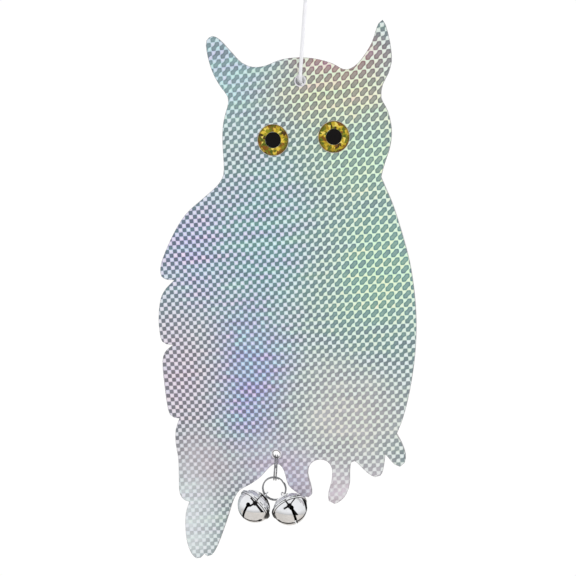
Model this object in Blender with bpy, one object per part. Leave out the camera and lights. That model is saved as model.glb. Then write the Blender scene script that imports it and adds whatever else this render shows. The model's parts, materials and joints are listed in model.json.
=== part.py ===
"""Reflective owl bird scarer: a flat foil-faced owl on a cord, with two jingle bells chained below it.

Metres, +Z up. The origin is where a hook bears in the eye of the cord. The owl faces -Y.
"""

import math

import bmesh
import bpy
from mathutils import Matrix, Vector
from mathutils.geometry import tessellate_polygon

# Driving dimensions of the owl
PLATE_WIDTH = 0.181
PLATE_HEIGHT = 0.386
BOARD_THICKNESS = 0.0015
FOIL_THICKNESS = 0.00025
HOOK_TO_HEAD_HOLE = 0.095
BALANCE_SHIFT = 0.0009
HEAD_HOLE_DIAMETER = 0.0060
CHAIN_HOLE_DIAMETER = 0.0052
EYE_DIAMETER = 0.0215
PUPIL_DIAMETER = 0.0105

# Driving dimensions of the cord
CORD_DIAMETER = 0.0028
EYE_LOOP_WIDTH = 0.0165
EYE_LEG_SPACING = 0.0036
KNOT_DROP = 0.0300
KNOT_WIDTH = 0.0100
KNOT_HEIGHT = 0.0112
STOPPER_WIDTH = 0.0086
STOPPER_DEPTH = 0.0062
STRAND_REACH_OVER_CROWN = 0.0060

# Driving dimensions of the two split rings
RING_WIRE = 0.0010
RING_COIL_GAP = 0.00045
PLATE_RING_DIAMETER = 0.0184
BELL_RING_DIAMETER = 0.0176
PLATE_RING_PLAY = 0.0005

# Driving dimensions of a jingle bell
BELL_DIAMETER = 0.0250
BELL_WALL = 0.0005
CAP_HEIGHT = 0.0088
CRIMP_BULGE = 0.0006
CRIMP_ROUND = 0.0003
FLANGE_REACH = 0.0007
BAIL_WIRE = 0.0010
BAIL_INNER_WIDTH = 0.0055
BAIL_FOOT_LENGTH = 0.0018
BAIL_BEND_RADIUS = 0.0008
RING_OVER_CAP = 0.00135
RING_TO_BAIL_TOP = 0.0019
SLOT_WIDTH = 0.0014
SLOT_END_DIAMETER = 0.0029
PELLET_DIAMETER = 0.0060

# Clearances and working lengths
SEAT_GAP = 0.0003
CUT_OVERRUN = 0.0010
OUTLINE_STEP = 0.0044
WIND_LENGTH = 0.0036

# Angles, in degrees
SLOT_END_ANGLE = 58
BELL_TILT = 39
RING_STEP_ANGLE = 30
PLATE_RING_TURN = 10
PLATE_RING_STEP_AT = 345
BELL_RING_STEP_AT = 52
BIGHT_TURN = 74

# Each bell: where its bail sits on the ring, how far its axis leans out, and how its slots are turned
BELLS = {
    "left": {"ring_angle": -140, "lean": -42, "slot_turn": 64},
    "right": {"ring_angle": -30, "lean": 45, "slot_turn": 30},
}

# Counts
ROUND_SIDES = 28
HOLE_SIDES = 20
PELLET_SIDES = 14
TUBE_RESOLUTION = 2
RING_STEPS = 24
STEP_STEPS = 4
SHELL_STEPS = 8
BEND_STEPS = 8
KNOT_WRAPS = 3

# Places on the owl, as shares of its width and height, counted from the head hole
CHAIN_HOLE_SHARES = (0.004, -0.6695)
CROWN_SHARE = 0.039
BRIDGE_AXIS_SHARE = 0.6
EYE_SHARES = {"left": (-0.087, -0.104), "right": (0.139, -0.091)}

# How deep the wraps of a knot are, as a share of its radius
WRAP_SHARE = 0.05

# The outline in runs from corner to corner, counted from the head hole
HEAD_SHARES = [
    (0.323, -0.153), (0.332, -0.130), (0.347, -0.100), (0.347, -0.070), (0.327, -0.040),
    (0.300, -0.019), (0.302, 0.003), (0.318, 0.021), (0.327, 0.042), (0.321, 0.063),
    (0.310, 0.082), (0.294, 0.102), (0.283, 0.109), (0.270, 0.103), (0.249, 0.069),
    (0.209, 0.037), (0.181, 0.026), (0.156, 0.024), (0.110, 0.033), (0.039, 0.039),
    (-0.031, 0.038), (-0.086, 0.032), (-0.137, 0.021), (-0.182, 0.018), (-0.224, 0.024),
    (-0.268, 0.042), (-0.316, 0.062), (-0.340, 0.066), (-0.361, 0.058), (-0.359, 0.041),
    (-0.348, 0.023), (-0.328, 0.001), (-0.299, -0.019), (-0.270, -0.035), (-0.266, -0.047),
    (-0.272, -0.060), (-0.280, -0.080), (-0.281, -0.105), (-0.276, -0.129), (-0.270, -0.151),
    (-0.269, -0.171), (-0.284, -0.187), (-0.341, -0.215), (-0.408, -0.247), (-0.464, -0.297),
    (-0.497, -0.347), (-0.491, -0.363), (-0.467, -0.368),
]
FIRST_FEATHER_SHARES = [
    (-0.439, -0.367), (-0.472, -0.385), (-0.489, -0.402), (-0.495, -0.434), (-0.492, -0.454),
    (-0.476, -0.483), (-0.458, -0.487),
]
SECOND_FEATHER_SHARES = [
    (-0.430, -0.487), (-0.457, -0.498), (-0.469, -0.511), (-0.469, -0.530), (-0.456, -0.569),
    (-0.444, -0.599), (-0.430, -0.619), (-0.411, -0.624),
]
THIRD_FEATHER_SHARES = [
    (-0.391, -0.624), (-0.403, -0.645), (-0.402, -0.668), (-0.387, -0.702), (-0.381, -0.735),
    (-0.373, -0.769), (-0.354, -0.780),
]
TAIL_SHARES = [
    (-0.333, -0.782), (-0.344, -0.803), (-0.344, -0.829), (-0.332, -0.863), (-0.311, -0.884),
    (-0.291, -0.891), (-0.275, -0.889),
]
TAIL_SIDE_SHARES = [
    (-0.260, -0.880), (-0.247, -0.884), (-0.229, -0.880), (-0.212, -0.865), (-0.173, -0.802),
    (-0.156, -0.769), (-0.132, -0.747), (-0.088, -0.7315),
]
CLAW_SHARES = [
    (0.424, -0.644), (0.442, -0.652), (0.463, -0.661), (0.484, -0.664), (0.500, -0.656),
    (0.501, -0.641), (0.482, -0.620),
]
FLANK_SHARES = [
    (0.461, -0.605), (0.478, -0.577), (0.491, -0.542), (0.501, -0.492), (0.503, -0.441),
    (0.496, -0.393), (0.481, -0.348), (0.461, -0.307), (0.438, -0.273), (0.376, -0.200),
    (0.347, -0.174),
]

# The crotch and the toes beside the bells, as shares of the width and of the toes' drop below the lower hole
TOE_SHARES = [
    (-0.050, -0.572), (-0.027, -0.384), (-0.004, -0.245), (0.019, -0.233), (0.039, -0.371),
    (0.060, -0.698), (0.088, -0.824), (0.118, -0.912), (0.142, -0.925), (0.154, -0.849),
    (0.146, -0.623), (0.132, -0.371), (0.137, -0.170), (0.155, -0.044), (0.178, 0.006),
    (0.204, -0.019), (0.224, -0.157), (0.227, -0.472), (0.219, -0.736), (0.223, -0.950),
    (0.245, -1.000), (0.270, -0.899), (0.289, -0.723), (0.297, -0.484), (0.294, -0.132),
    (0.298, 0.031), (0.310, 0.069), (0.334, -0.031), (0.363, -0.170), (0.393, -0.245),
    (0.413, -0.195), (0.421, -0.057),
]
CROTCH_SHARE = -0.233

# How far the toes reach down beside the chain, as a share of the chain's drop from the lower hole
TOE_REACH_SHARE = 0.901

# Sizes that follow for the owl and the cord
CORD_RADIUS = CORD_DIAMETER / 2
STACK_HALF = BOARD_THICKNESS / 2 + SEAT_GAP + FOIL_THICKNESS
PLATE_Y = BALANCE_SHIFT
FACE_Y = PLATE_Y - STACK_HALF
BACK_Y = PLATE_Y + STACK_HALF
BIGHT_Y = FACE_Y - SEAT_GAP - CORD_RADIUS
HEAD_HOLE_Z = -HOOK_TO_HEAD_HOLE
STRAND_END = Vector((0, BIGHT_Y, HEAD_HOLE_Z + CROWN_SHARE * PLATE_HEIGHT + STRAND_REACH_OVER_CROWN))
KNOT_CENTRE = Vector((0, 0, -KNOT_DROP))
BEND_RADIUS = 2 * CORD_DIAMETER

# Sizes that follow for the rings
RING_PITCH = RING_WIRE + RING_COIL_GAP
PLATE_RING_RADIUS = (PLATE_RING_DIAMETER - RING_WIRE) / 2
BELL_RING_RADIUS = (BELL_RING_DIAMETER - RING_WIRE) / 2
CHAIN_X = CHAIN_HOLE_SHARES[0] * PLATE_WIDTH
CHAIN_HOLE_Z = HEAD_HOLE_Z + CHAIN_HOLE_SHARES[1] * PLATE_HEIGHT
CHAIN_HOLE_RADIUS = CHAIN_HOLE_DIAMETER / 2
WIRE_REACH = CHAIN_HOLE_RADIUS - PLATE_RING_PLAY - RING_WIRE / 2
WIRE_SEAT = math.sqrt(WIRE_REACH**2 - (RING_PITCH / 2) ** 2)
PLATE_RING_Z = CHAIN_HOLE_Z - WIRE_SEAT - PLATE_RING_RADIUS
BELL_RING_Z = (
    PLATE_RING_Z
    - math.sqrt(PLATE_RING_RADIUS**2 - (RING_PITCH / 2) ** 2)
    + RING_WIRE
    + SEAT_GAP
    - math.sqrt(BELL_RING_RADIUS**2 - (RING_PITCH / 2) ** 2)
)
TOE_DROP = TOE_REACH_SHARE * (CHAIN_HOLE_Z - BELL_RING_Z + BELL_RING_RADIUS)
BRIDGE_TOP_Z = CHAIN_HOLE_Z - CHAIN_HOLE_RADIUS
BRIDGE_BOTTOM_Z = CHAIN_HOLE_Z + CROTCH_SHARE * TOE_DROP
CHAIN_AXIS_Z = BRIDGE_TOP_Z + BRIDGE_AXIS_SHARE * (BRIDGE_BOTTOM_Z - BRIDGE_TOP_Z)

# Sizes that follow for a bell, counted from the middle of its ball
BELL_RADIUS = BELL_DIAMETER / 2
BELL_DROP = CAP_HEIGHT + RING_OVER_CAP
FLANGE_LOW = -(BELL_WALL + SEAT_GAP) / 2
FLANGE_TOP = FLANGE_LOW + BELL_WALL
LEDGE_TOP = FLANGE_LOW - SEAT_GAP
LEDGE_LOW = LEDGE_TOP - BELL_WALL
LIP_LOW = FLANGE_TOP + SEAT_GAP
LIP_TOP = LIP_LOW + BELL_WALL
CRIMP_RADIUS = BELL_RADIUS + CRIMP_BULGE
CHANNEL_RADIUS = CRIMP_RADIUS - BELL_WALL
FLANGE_RADIUS = CHANNEL_RADIUS - SEAT_GAP
DOME_RADIUS = FLANGE_RADIUS - FLANGE_REACH
BAIL_RADIUS = (BAIL_INNER_WIDTH + BAIL_WIRE) / 2


def clear_scene():
    for item in list(bpy.data.objects):
        bpy.data.objects.remove(item, do_unlink=True)


def material(name, colour, roughness, metallic):
    """One plain surface."""
    made = bpy.data.materials.new(name)
    made.use_nodes = True
    shader = made.node_tree.nodes["Principled BSDF"]
    shader.inputs["Base Color"].default_value = (*colour, 1)
    shader.inputs["Roughness"].default_value = roughness
    shader.inputs["Metallic"].default_value = metallic
    return made


def add_object(name, data, surface, origin=(0, 0, 0)):
    made = bpy.data.objects.new(name, data)
    bpy.context.scene.collection.objects.link(made)
    made.location = origin
    if surface is not None:
        data.materials.append(surface)
    return made


def pivot(name, spot, turn=None):
    """An empty on a joint axis."""
    made = add_object(name, None, None, spot)
    if turn is not None:
        made.rotation_euler = turn.to_euler()
    return made


def hang_from(parent, *children):
    """Keeps each child where it is while it follows the parent, which isn't turned."""
    for child in children:
        child.parent = parent
        child.location = child.location - parent.location


def closed_mesh(name, points, faces, smooth):
    """A mesh whose faces all look outward."""
    mesh = bpy.data.meshes.new(name)
    mesh.from_pydata(points, [], faces)
    work = bmesh.new()
    work.from_mesh(mesh)
    bmesh.ops.recalc_face_normals(work, faces=work.faces)
    if work.calc_volume(signed=True) < 0:
        bmesh.ops.reverse_faces(work, faces=work.faces)
    for face in work.faces:
        face.smooth = smooth
    work.to_mesh(mesh)
    work.free()
    return mesh


# Flat pieces


def mix(first, second, first_knot, second_knot, knot):
    return first.lerp(second, (knot - first_knot) / (second_knot - first_knot))


def curve_point(before, start, end, after, share):
    """A point part of the way from start to end on the centripetal curve through four points."""
    k0 = 0
    k1 = k0 + math.sqrt((start - before).length)
    k2 = k1 + math.sqrt((end - start).length)
    k3 = k2 + math.sqrt((after - end).length)
    knot = k1 + share * (k2 - k1)
    low = mix(before, start, k0, k1, knot)
    middle = mix(start, end, k1, k2, knot)
    high = mix(end, after, k2, k3, knot)
    return mix(mix(low, middle, k0, k2, knot), mix(middle, high, k1, k3, knot), k1, k2, knot)


def plate_points(shares):
    """Points placed by shares of the owl's width and height, counted from the head hole."""
    return [Vector((x * PLATE_WIDTH, HEAD_HOLE_Z + z * PLATE_HEIGHT)) for x, z in shares]


def toe_points(shares):
    """Points placed by shares of the owl's width and of the toes' drop, counted from the lower hole."""
    return [Vector((x * PLATE_WIDTH, CHAIN_HOLE_Z + z * TOE_DROP)) for x, z in shares]


def outline():
    """The owl's edge as one closed row of points, smooth along each run and sharp between runs."""
    runs = [
        plate_points(HEAD_SHARES),
        plate_points(FIRST_FEATHER_SHARES),
        plate_points(SECOND_FEATHER_SHARES),
        plate_points(THIRD_FEATHER_SHARES),
        plate_points(TAIL_SHARES),
        plate_points(TAIL_SIDE_SHARES) + toe_points(TOE_SHARES),
        plate_points(CLAW_SHARES),
        plate_points(FLANK_SHARES),
    ]
    edge = []
    for run, following in zip(runs, runs[1:] + runs[:1]):
        row = run + [following[0]]
        row = [2 * row[0] - row[1]] + row + [2 * row[-1] - row[-2]]
        for before, start, end, after in zip(row, row[1:], row[2:], row[3:]):
            steps = math.ceil((end - start).length / OUTLINE_STEP)
            for step in range(steps):
                edge.append(curve_point(before, start, end, after, step / steps))
    return edge


def circle(centre, radius, sides):
    """A closed row of points on a circle in the XZ plane."""
    return [
        Vector((
            centre[0] + radius * math.cos(2 * math.pi * side / sides),
            centre[1] + radius * math.sin(2 * math.pi * side / sides),
        ))
        for side in range(sides)
    ]


def flat_piece(name, edge, holes, near_y, thickness, surface):
    """A sheet in the XZ plane, from near_y backwards, with an edge and holes."""
    loops = [edge] + holes
    flat = [point for loop in loops for point in loop]
    count = len(flat)
    points = [(p.x, near_y, p.y) for p in flat] + [(p.x, near_y + thickness, p.y) for p in flat]
    faces = []
    for a, b, c in tessellate_polygon([[(p.x, p.y, 0) for p in loop] for loop in loops]):
        faces.append((a, b, c))
        faces.append((c + count, b + count, a + count))
    start = 0
    for loop in loops:
        for spot in range(len(loop)):
            here = start + spot
            there = start + (spot + 1) % len(loop)
            faces.append((here, there, there + count, here + count))
        start += len(loop)
    return add_object(name, closed_mesh(name, points, faces, False), surface)


def owl_sheets(foil, board, gold, black):
    """The board, a foil on each face, and the four eyes."""
    edge = outline()
    head_hole = circle((0, HEAD_HOLE_Z), HEAD_HOLE_DIAMETER / 2, HOLE_SIDES)
    chain_hole = circle((CHAIN_X, CHAIN_HOLE_Z), CHAIN_HOLE_RADIUS, HOLE_SIDES)
    holes = [head_hole, chain_hole]
    board_front = PLATE_Y - BOARD_THICKNESS / 2
    sheets = [
        flat_piece("board_core", edge, holes, board_front, BOARD_THICKNESS, board),
        flat_piece("foil_front", edge, holes, FACE_Y, FOIL_THICKNESS, foil),
        flat_piece("foil_back", edge, holes, BACK_Y - FOIL_THICKNESS, FOIL_THICKNESS, foil),
    ]
    eye_y = {
        "front": FACE_Y - SEAT_GAP - FOIL_THICKNESS,
        "back": BACK_Y + SEAT_GAP,
    }
    for side, near_y in eye_y.items():
        for place, (x, z) in EYE_SHARES.items():
            centre = (x * PLATE_WIDTH, HEAD_HOLE_Z + z * PLATE_HEIGHT)
            rim = circle(centre, EYE_DIAMETER / 2, ROUND_SIDES)
            window = circle(centre, PUPIL_DIAMETER / 2 + SEAT_GAP, ROUND_SIDES)
            pupil = circle(centre, PUPIL_DIAMETER / 2, ROUND_SIDES)
            name = side + "_" + place
            sheets.append(flat_piece("eye_iris_" + name, rim, [window], near_y, FOIL_THICKNESS, gold))
            sheets.append(flat_piece("eye_pupil_" + name, pupil, [], near_y, FOIL_THICKNESS, black))
    return sheets


# Cords, wires and knots


def tube(name, points, radius, surface, origin=(0, 0, 0)):
    """A round bar along a row of points that count from the origin."""
    line = bpy.data.curves.new(name, "CURVE")
    line.dimensions = "3D"
    line.bevel_depth = radius
    line.bevel_resolution = TUBE_RESOLUTION
    line.use_fill_caps = True
    spline = line.splines.new("POLY")
    spline.points.add(len(points) - 1)
    spline.use_smooth = True
    for spot, point in zip(spline.points, points):
        spot.co = (*point, 1)
    return add_object(name, line, surface, origin)


def straight(start, end):
    """A row of points from start to end."""
    steps = max(1, round((end - start).length / WIND_LENGTH))
    return [start.lerp(end, step / steps) for step in range(steps + 1)]


def cord_loop(surface):
    """The eye: an arc over the hook and two straight legs that run together into the knot."""
    radius = (EYE_LOOP_WIDTH - CORD_DIAMETER) / 2
    centre = Vector((0, 0, CORD_RADIUS - radius))
    foot = Vector((EYE_LEG_SPACING / 2, 0, KNOT_CENTRE.z + KNOT_HEIGHT / 2 + SEAT_GAP))
    reach = foot - centre
    lean = math.acos(radius / reach.length)
    low_angle = math.atan2(reach.z, reach.x) + lean
    steps = 2 * BEND_STEPS
    arc = []
    for step in range(steps + 1):
        angle = low_angle + step / steps * (math.pi - 2 * low_angle)
        arc.append(centre + radius * Vector((math.cos(angle), 0, math.sin(angle))))
    other = Vector((-foot.x, 0, foot.z))
    points = straight(foot, arc[0])[:-1] + arc + straight(arc[-1], other)[1:]
    return tube("cord_loop", points, CORD_RADIUS, surface)


def wrapped_ball(name, centre, half_sizes, axis, surface):
    """A knot drawn tight: a ball whose surface swells where the cord winds round it."""
    sides = ROUND_SIDES
    rows = ROUND_SIDES // 2
    points = []
    faces = []
    for row in range(1, rows):
        latitude = math.pi * row / rows
        for side in range(sides):
            turn = 2 * math.pi * side / sides
            wave = math.sin(latitude) * math.cos(2 * turn + KNOT_WRAPS * latitude)
            swell = 1 - WRAP_SHARE + WRAP_SHARE * wave
            ball = Vector((
                math.sin(latitude) * math.cos(turn),
                math.sin(latitude) * math.sin(turn),
                math.cos(latitude),
            ))
            points.append(Vector([swell * size * part for size, part in zip(half_sizes, ball)]))
    for row in range(rows - 2):
        for side in range(sides):
            here = row * sides + side
            there = row * sides + (side + 1) % sides
            faces.append((here, there, there + sides, here + sides))
    top = len(points)
    tip = (1 - WRAP_SHARE) * half_sizes[2]
    points += [Vector((0, 0, tip)), Vector((0, 0, -tip))]
    last = (rows - 2) * sides
    for side in range(sides):
        nearby = (side + 1) % sides
        faces.append((top, side, nearby))
        faces.append((top + 1, last + nearby, last + side))
    turned = Vector((0, 0, 1)).rotation_difference(axis).to_matrix()
    points = [turned @ point for point in points]
    return add_object(name, closed_mesh(name, points, faces, True), surface, centre)


def cord_strand(surface):
    """The single strand, from under the knot to just above the crown."""
    way = (STRAND_END - KNOT_CENTRE).normalized()
    start = way * (KNOT_HEIGHT / 2 + SEAT_GAP)
    end = STRAND_END - KNOT_CENTRE
    return tube("cord_strand", straight(start, end), CORD_RADIUS, surface, KNOT_CENTRE)


def cord_bight(surface):
    """The length that lies on the forehead and turns back through the hole: its points and its bend's end."""
    near = BEND_RADIUS + BIGHT_Y
    inner_top = math.sqrt((BEND_RADIUS - CORD_RADIUS) ** 2 - (near - FACE_Y) ** 2)
    outer_low = math.sqrt((BEND_RADIUS + CORD_RADIUS) ** 2 - (near - BACK_Y) ** 2)
    centre = Vector((0, near, HEAD_HOLE_Z + (inner_top + outer_low) / 2))
    top = STRAND_END - Vector((0, 0, SEAT_GAP))
    bend = []
    for step in range(BEND_STEPS + 1):
        turn = math.radians(BIGHT_TURN) * step / BEND_STEPS
        bend.append(centre - BEND_RADIUS * Vector((0, math.cos(turn), math.sin(turn))))
    points = straight(top, bend[0])[:-1] + bend
    return tube("cord_bight", points, CORD_RADIUS, surface), bend[-1]


def ring_points(radius, step_at):
    """Two turns side by side with one short step between them, as (angle, offset along the ring's axis)."""
    step_turn = math.radians(RING_STEP_ANGLE)
    turn = 2 * math.pi - step_turn
    start = math.radians(step_at) + step_turn / 2
    row = []
    for step in range(RING_STEPS + 1):
        row.append((start + turn * step / RING_STEPS, -RING_PITCH / 2))
    for step in range(1, STEP_STEPS):
        share = step / STEP_STEPS
        rise = share * share * (3 - 2 * share)
        row.append((start + turn + step_turn * share, RING_PITCH * (rise - 1 / 2)))
    for step in range(RING_STEPS + 1):
        row.append((start + 2 * math.pi + turn * step / RING_STEPS, RING_PITCH / 2))
    return row


def least_self_gap(points, wire):
    """The least distance between surfaces of parts of the wire that don't follow one another."""
    least = math.inf
    for first in range(len(points)):
        walked = 0
        for second in range(first + 1, len(points)):
            walked += (points[second] - points[second - 1]).length
            if walked > 3 * wire:
                least = min(least, (points[second] - points[first]).length - wire)
    return least


def split_ring(name, radius, step_at, across, along, centre, axis_point, surface):
    """A split ring, whose first turn starts at the step. The origin is on its joint axis."""
    up = Vector((0, 0, 1))
    points = []
    for angle, offset in ring_points(radius, step_at):
        points.append(centre + radius * (math.cos(angle) * across + math.sin(angle) * up) + offset * along)
    print(name, "least gap to itself, in mm:", round(1000 * least_self_gap(points, RING_WIRE), 3))
    return tube(name, [point - axis_point for point in points], RING_WIRE / 2, surface, axis_point)


# Jingle bells


def lathe(name, profile, surface):
    """Turns a row of (radius, height) points, which starts and ends on the axis, round Z."""
    points = []
    faces = []
    rows = []
    for radius, height in profile:
        count = ROUND_SIDES if radius > SEAT_GAP / 10 else 1
        rows.append(range(len(points), len(points) + count))
        for side in range(count):
            turn = 2 * math.pi * side / ROUND_SIDES
            points.append((radius * math.cos(turn), radius * math.sin(turn), height))
    for low, high in zip(rows, rows[1:]):
        for side in range(ROUND_SIDES):
            after = (side + 1) % ROUND_SIDES
            ring = [low[side % len(low)], low[after % len(low)], high[after % len(high)], high[side % len(high)]]
            faces.append(tuple(dict.fromkeys(ring)))
    return add_object(name, closed_mesh(name, points, faces, True), surface)


def ball_rows(radius, height_at_end):
    """(radius, height) points of a ball from its lowest point up to a height."""
    end = math.acos(-height_at_end / radius)
    rows = []
    for step in range(SHELL_STEPS + 1):
        angle = end * step / SHELL_STEPS
        rows.append((radius * math.sin(angle), -radius * math.cos(angle)))
    rows[0] = (0, -radius)
    return rows


def dome_rows(radius, height):
    """(radius, height) points of the cap's dome from its top down to its foot."""
    rows = []
    for step in range(SHELL_STEPS + 1):
        angle = math.pi / 2 * step / SHELL_STEPS
        rows.append((radius * math.sin(angle), FLANGE_TOP + (height - FLANGE_TOP) * math.cos(angle)))
    rows[0] = (0, height)
    return rows


def cup_profile():
    """The lower shell: half a ball whose rim swells and folds over the cap's flange."""
    outer = ball_rows(BELL_RADIUS, LEDGE_LOW)
    rim = [
        (CRIMP_RADIUS - CRIMP_ROUND, LEDGE_LOW),
        (CRIMP_RADIUS, LEDGE_LOW + CRIMP_ROUND),
        (CRIMP_RADIUS, LIP_TOP - CRIMP_ROUND),
        (CRIMP_RADIUS - CRIMP_ROUND, LIP_TOP),
        (DOME_RADIUS + SEAT_GAP, LIP_TOP),
        (DOME_RADIUS + SEAT_GAP, LIP_LOW),
        (CHANNEL_RADIUS, LIP_LOW),
        (CHANNEL_RADIUS, LEDGE_TOP),
    ]
    return outer + rim + ball_rows(BELL_RADIUS - BELL_WALL, LEDGE_TOP)[::-1]


def cap_profile():
    """The upper shell: a dome that ends in a flat flange."""
    flange = [
        (FLANGE_RADIUS, FLANGE_TOP),
        (FLANGE_RADIUS, FLANGE_LOW),
        (DOME_RADIUS - BELL_WALL, FLANGE_LOW),
    ]
    inner = dome_rows(DOME_RADIUS - BELL_WALL, CAP_HEIGHT - BELL_WALL)[::-1]
    return dome_rows(DOME_RADIUS, CAP_HEIGHT) + flange + inner


def cutter(name, shape):
    """A closed helper shape that only cuts."""
    made = add_object(name, shape, None)
    made.hide_render = True
    made.display_type = "WIRE"
    return made


def cutter_rod(name, radius, low, high, turn):
    """A round cutter along Z from low to high, then turned."""
    points = []
    for height in (low, high):
        for spot in circle((0, 0), radius, HOLE_SIDES):
            points.append(turn @ Vector((spot.x, spot.y, height)))
    low_ring = list(range(HOLE_SIDES))
    high_ring = list(range(HOLE_SIDES, 2 * HOLE_SIDES))
    faces = [low_ring, high_ring]
    for side in low_ring:
        after = (side + 1) % HOLE_SIDES
        faces.append((side, after, after + HOLE_SIDES, side + HOLE_SIDES))
    return cutter(name, closed_mesh(name, points, faces, False))


def cutter_block(name, half_length, half_width, low, high, turn):
    """A square-edged cutter across the axis, from low to high, then turned about Z."""
    points = []
    for height in (low, high):
        for x, y in ((-1, -1), (1, -1), (1, 1), (-1, 1)):
            points.append(turn @ Vector((x * half_length, y * half_width, height)))
    faces = [(0, 1, 2, 3), (4, 5, 6, 7), (0, 1, 5, 4), (1, 2, 6, 5), (2, 3, 7, 6), (3, 0, 4, 7)]
    return cutter(name, closed_mesh(name, points, faces, False))


def cut(body, helpers):
    for helper in helpers:
        step = body.modifiers.new(helper.name, "BOOLEAN")
        step.operation = "DIFFERENCE"
        step.solver = "EXACT"
        step.object = helper


def slot_cutters(side, slot_turn):
    """Two crossing slots over the bottom of the cup, each with a round hole at both ends."""
    end = math.radians(SLOT_END_ANGLE)
    low = -BELL_RADIUS - CUT_OVERRUN
    high = -BELL_RADIUS * math.cos(end)
    helpers = []
    for number in range(2):
        turn = Matrix.Rotation(math.radians(slot_turn + 90 * number), 3, "Z")
        name = "slot_" + side + str(number)
        helpers.append(cutter_block(name, BELL_RADIUS * math.sin(end), SLOT_WIDTH / 2, low, high, turn))
        for way in (-1, 1):
            aim = turn @ Matrix.Rotation(way * end, 3, "Y")
            hole = cutter_rod(name + "_end" + str(way), SLOT_END_DIAMETER / 2, low, low / 2, aim)
            helpers.append(hole)
    return helpers


def bail(name, surface):
    """A wire staple: an arch over the cap, two legs through it, and two feet turned outward under it."""
    arch_z = BELL_DROP + RING_TO_BAIL_TOP - BAIL_INNER_WIDTH / 2
    tip = BAIL_RADIUS + BAIL_FOOT_LENGTH
    share = (tip + BAIL_WIRE / 2) / (DOME_RADIUS - BELL_WALL)
    under = FLANGE_TOP + (CAP_HEIGHT - BELL_WALL - FLANGE_TOP) * math.sqrt(1 - share**2)
    foot_z = under - SEAT_GAP - BAIL_WIRE / 2
    half = [Vector((0, 0, arch_z + BAIL_RADIUS))]
    for step in range(1, BEND_STEPS + 1):
        turn = math.pi / 2 * step / BEND_STEPS
        half.append(Vector((BAIL_RADIUS * math.sin(turn), 0, arch_z + BAIL_RADIUS * math.cos(turn))))
    for step in range(BEND_STEPS // 2 + 1):
        turn = math.pi / 2 * step / (BEND_STEPS // 2)
        x = BAIL_RADIUS + BAIL_BEND_RADIUS * (1 - math.cos(turn))
        half.append(Vector((x, 0, foot_z + BAIL_BEND_RADIUS * (1 - math.sin(turn)))))
    half.append(Vector((tip, 0, foot_z)))
    other = [Vector((-point.x, 0, point.z)) for point in half[:0:-1]]
    return tube(name, other + half, BAIL_WIRE / 2, surface)


def bell(side, ring_angle, lean, slot_turn, owl, steel, ball_steel):
    """One bell on a pivot whose Y axis is the axis it swings about and whose Z axis is the bell's own."""
    on_ring = math.radians(ring_angle)
    leaning = math.radians(lean)
    tilt = math.radians(BELL_TILT)
    spot = Vector((
        CHAIN_X + BELL_RING_RADIUS * math.cos(on_ring),
        PLATE_Y,
        BELL_RING_Z + BELL_RING_RADIUS * math.sin(on_ring),
    ))
    hang = math.cos(tilt) * Vector((math.sin(leaning), 0, -math.cos(leaning)))
    hang += math.sin(tilt) * Vector((0, -1, 0))
    swing = Vector((math.cos(leaning), 0, math.sin(leaning)))
    axes = Matrix([swing.cross(-hang), swing, -hang]).transposed()
    holder = pivot("bell_" + side + "_pivot", spot, axes)
    cup = lathe("bell_cup_" + side, cup_profile(), steel)
    slots = slot_cutters(side, slot_turn)
    cut(cup, slots)
    cap = lathe("bell_cap_" + side, cap_profile(), steel)
    legs = []
    for way in (-1, 1):
        name = "leg_hole_" + side + str(way)
        turn = Matrix.Identity(3)
        leg = cutter_rod(name, BAIL_WIRE / 2 + SEAT_GAP, CAP_HEIGHT / 2, CAP_HEIGHT + CUT_OVERRUN, turn)
        for point in leg.data.vertices:
            point.co.x += way * BAIL_RADIUS
        legs.append(leg)
    cut(cap, legs)
    staple = bail("bell_bail_" + side, steel)
    for piece in [cup, cap, staple] + slots + legs:
        piece.parent = holder
        piece.location = (0, 0, -BELL_DROP)
    centre = spot + BELL_DROP * hang
    drop = BELL_RADIUS - BELL_WALL - PELLET_DIAMETER / 2 - SEAT_GAP
    pellet = pellet_ball("bell_pellet_" + side, ball_steel)
    pellet.location = centre
    for point in pellet.data.vertices:
        point.co.z -= drop
    print("bell", side, "pivot", [round(1000 * v, 3) for v in spot], "centre", [round(1000 * v, 3) for v in centre])
    hang_from(owl, pellet)
    holder.parent = owl
    holder.location = spot - owl.location


def pellet_ball(name, surface):
    radius = PELLET_DIAMETER / 2
    mesh = bpy.data.meshes.new(name)
    work = bmesh.new()
    bmesh.ops.create_uvsphere(work, u_segments=PELLET_SIDES, v_segments=PELLET_SIDES // 2 + 1, radius=radius)
    for face in work.faces:
        face.smooth = True
    work.to_mesh(mesh)
    work.free()
    return add_object(name, mesh, surface)


clear_scene()
foil = material("foil", (0.72, 0.78, 0.80), 0.18, 0.9)
board = material("board", (0.80, 0.82, 0.83), 0.5, 0)
gold = material("iris_gold", (0.62, 0.46, 0.12), 0.25, 0.8)
black = material("pupil_black", (0.012, 0.012, 0.014), 0.6, 0)
cord_white = material("cord", (0.86, 0.86, 0.88), 0.85, 0)
ring_steel = material("ring_steel", (0.70, 0.71, 0.72), 0.2, 1)
bell_steel = material("bell_steel", (0.80, 0.80, 0.81), 0.08, 1)
ball_steel = material("pellet_steel", (0.35, 0.35, 0.36), 0.4, 1)

cord_loop(cord_white)
knot_half = (KNOT_WIDTH / 2, KNOT_WIDTH / 2, KNOT_HEIGHT / 2)
wrapped_ball("cord_knot", KNOT_CENTRE, knot_half, Vector((0, 0, 1)), cord_white)
cord_strand(cord_white)

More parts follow.
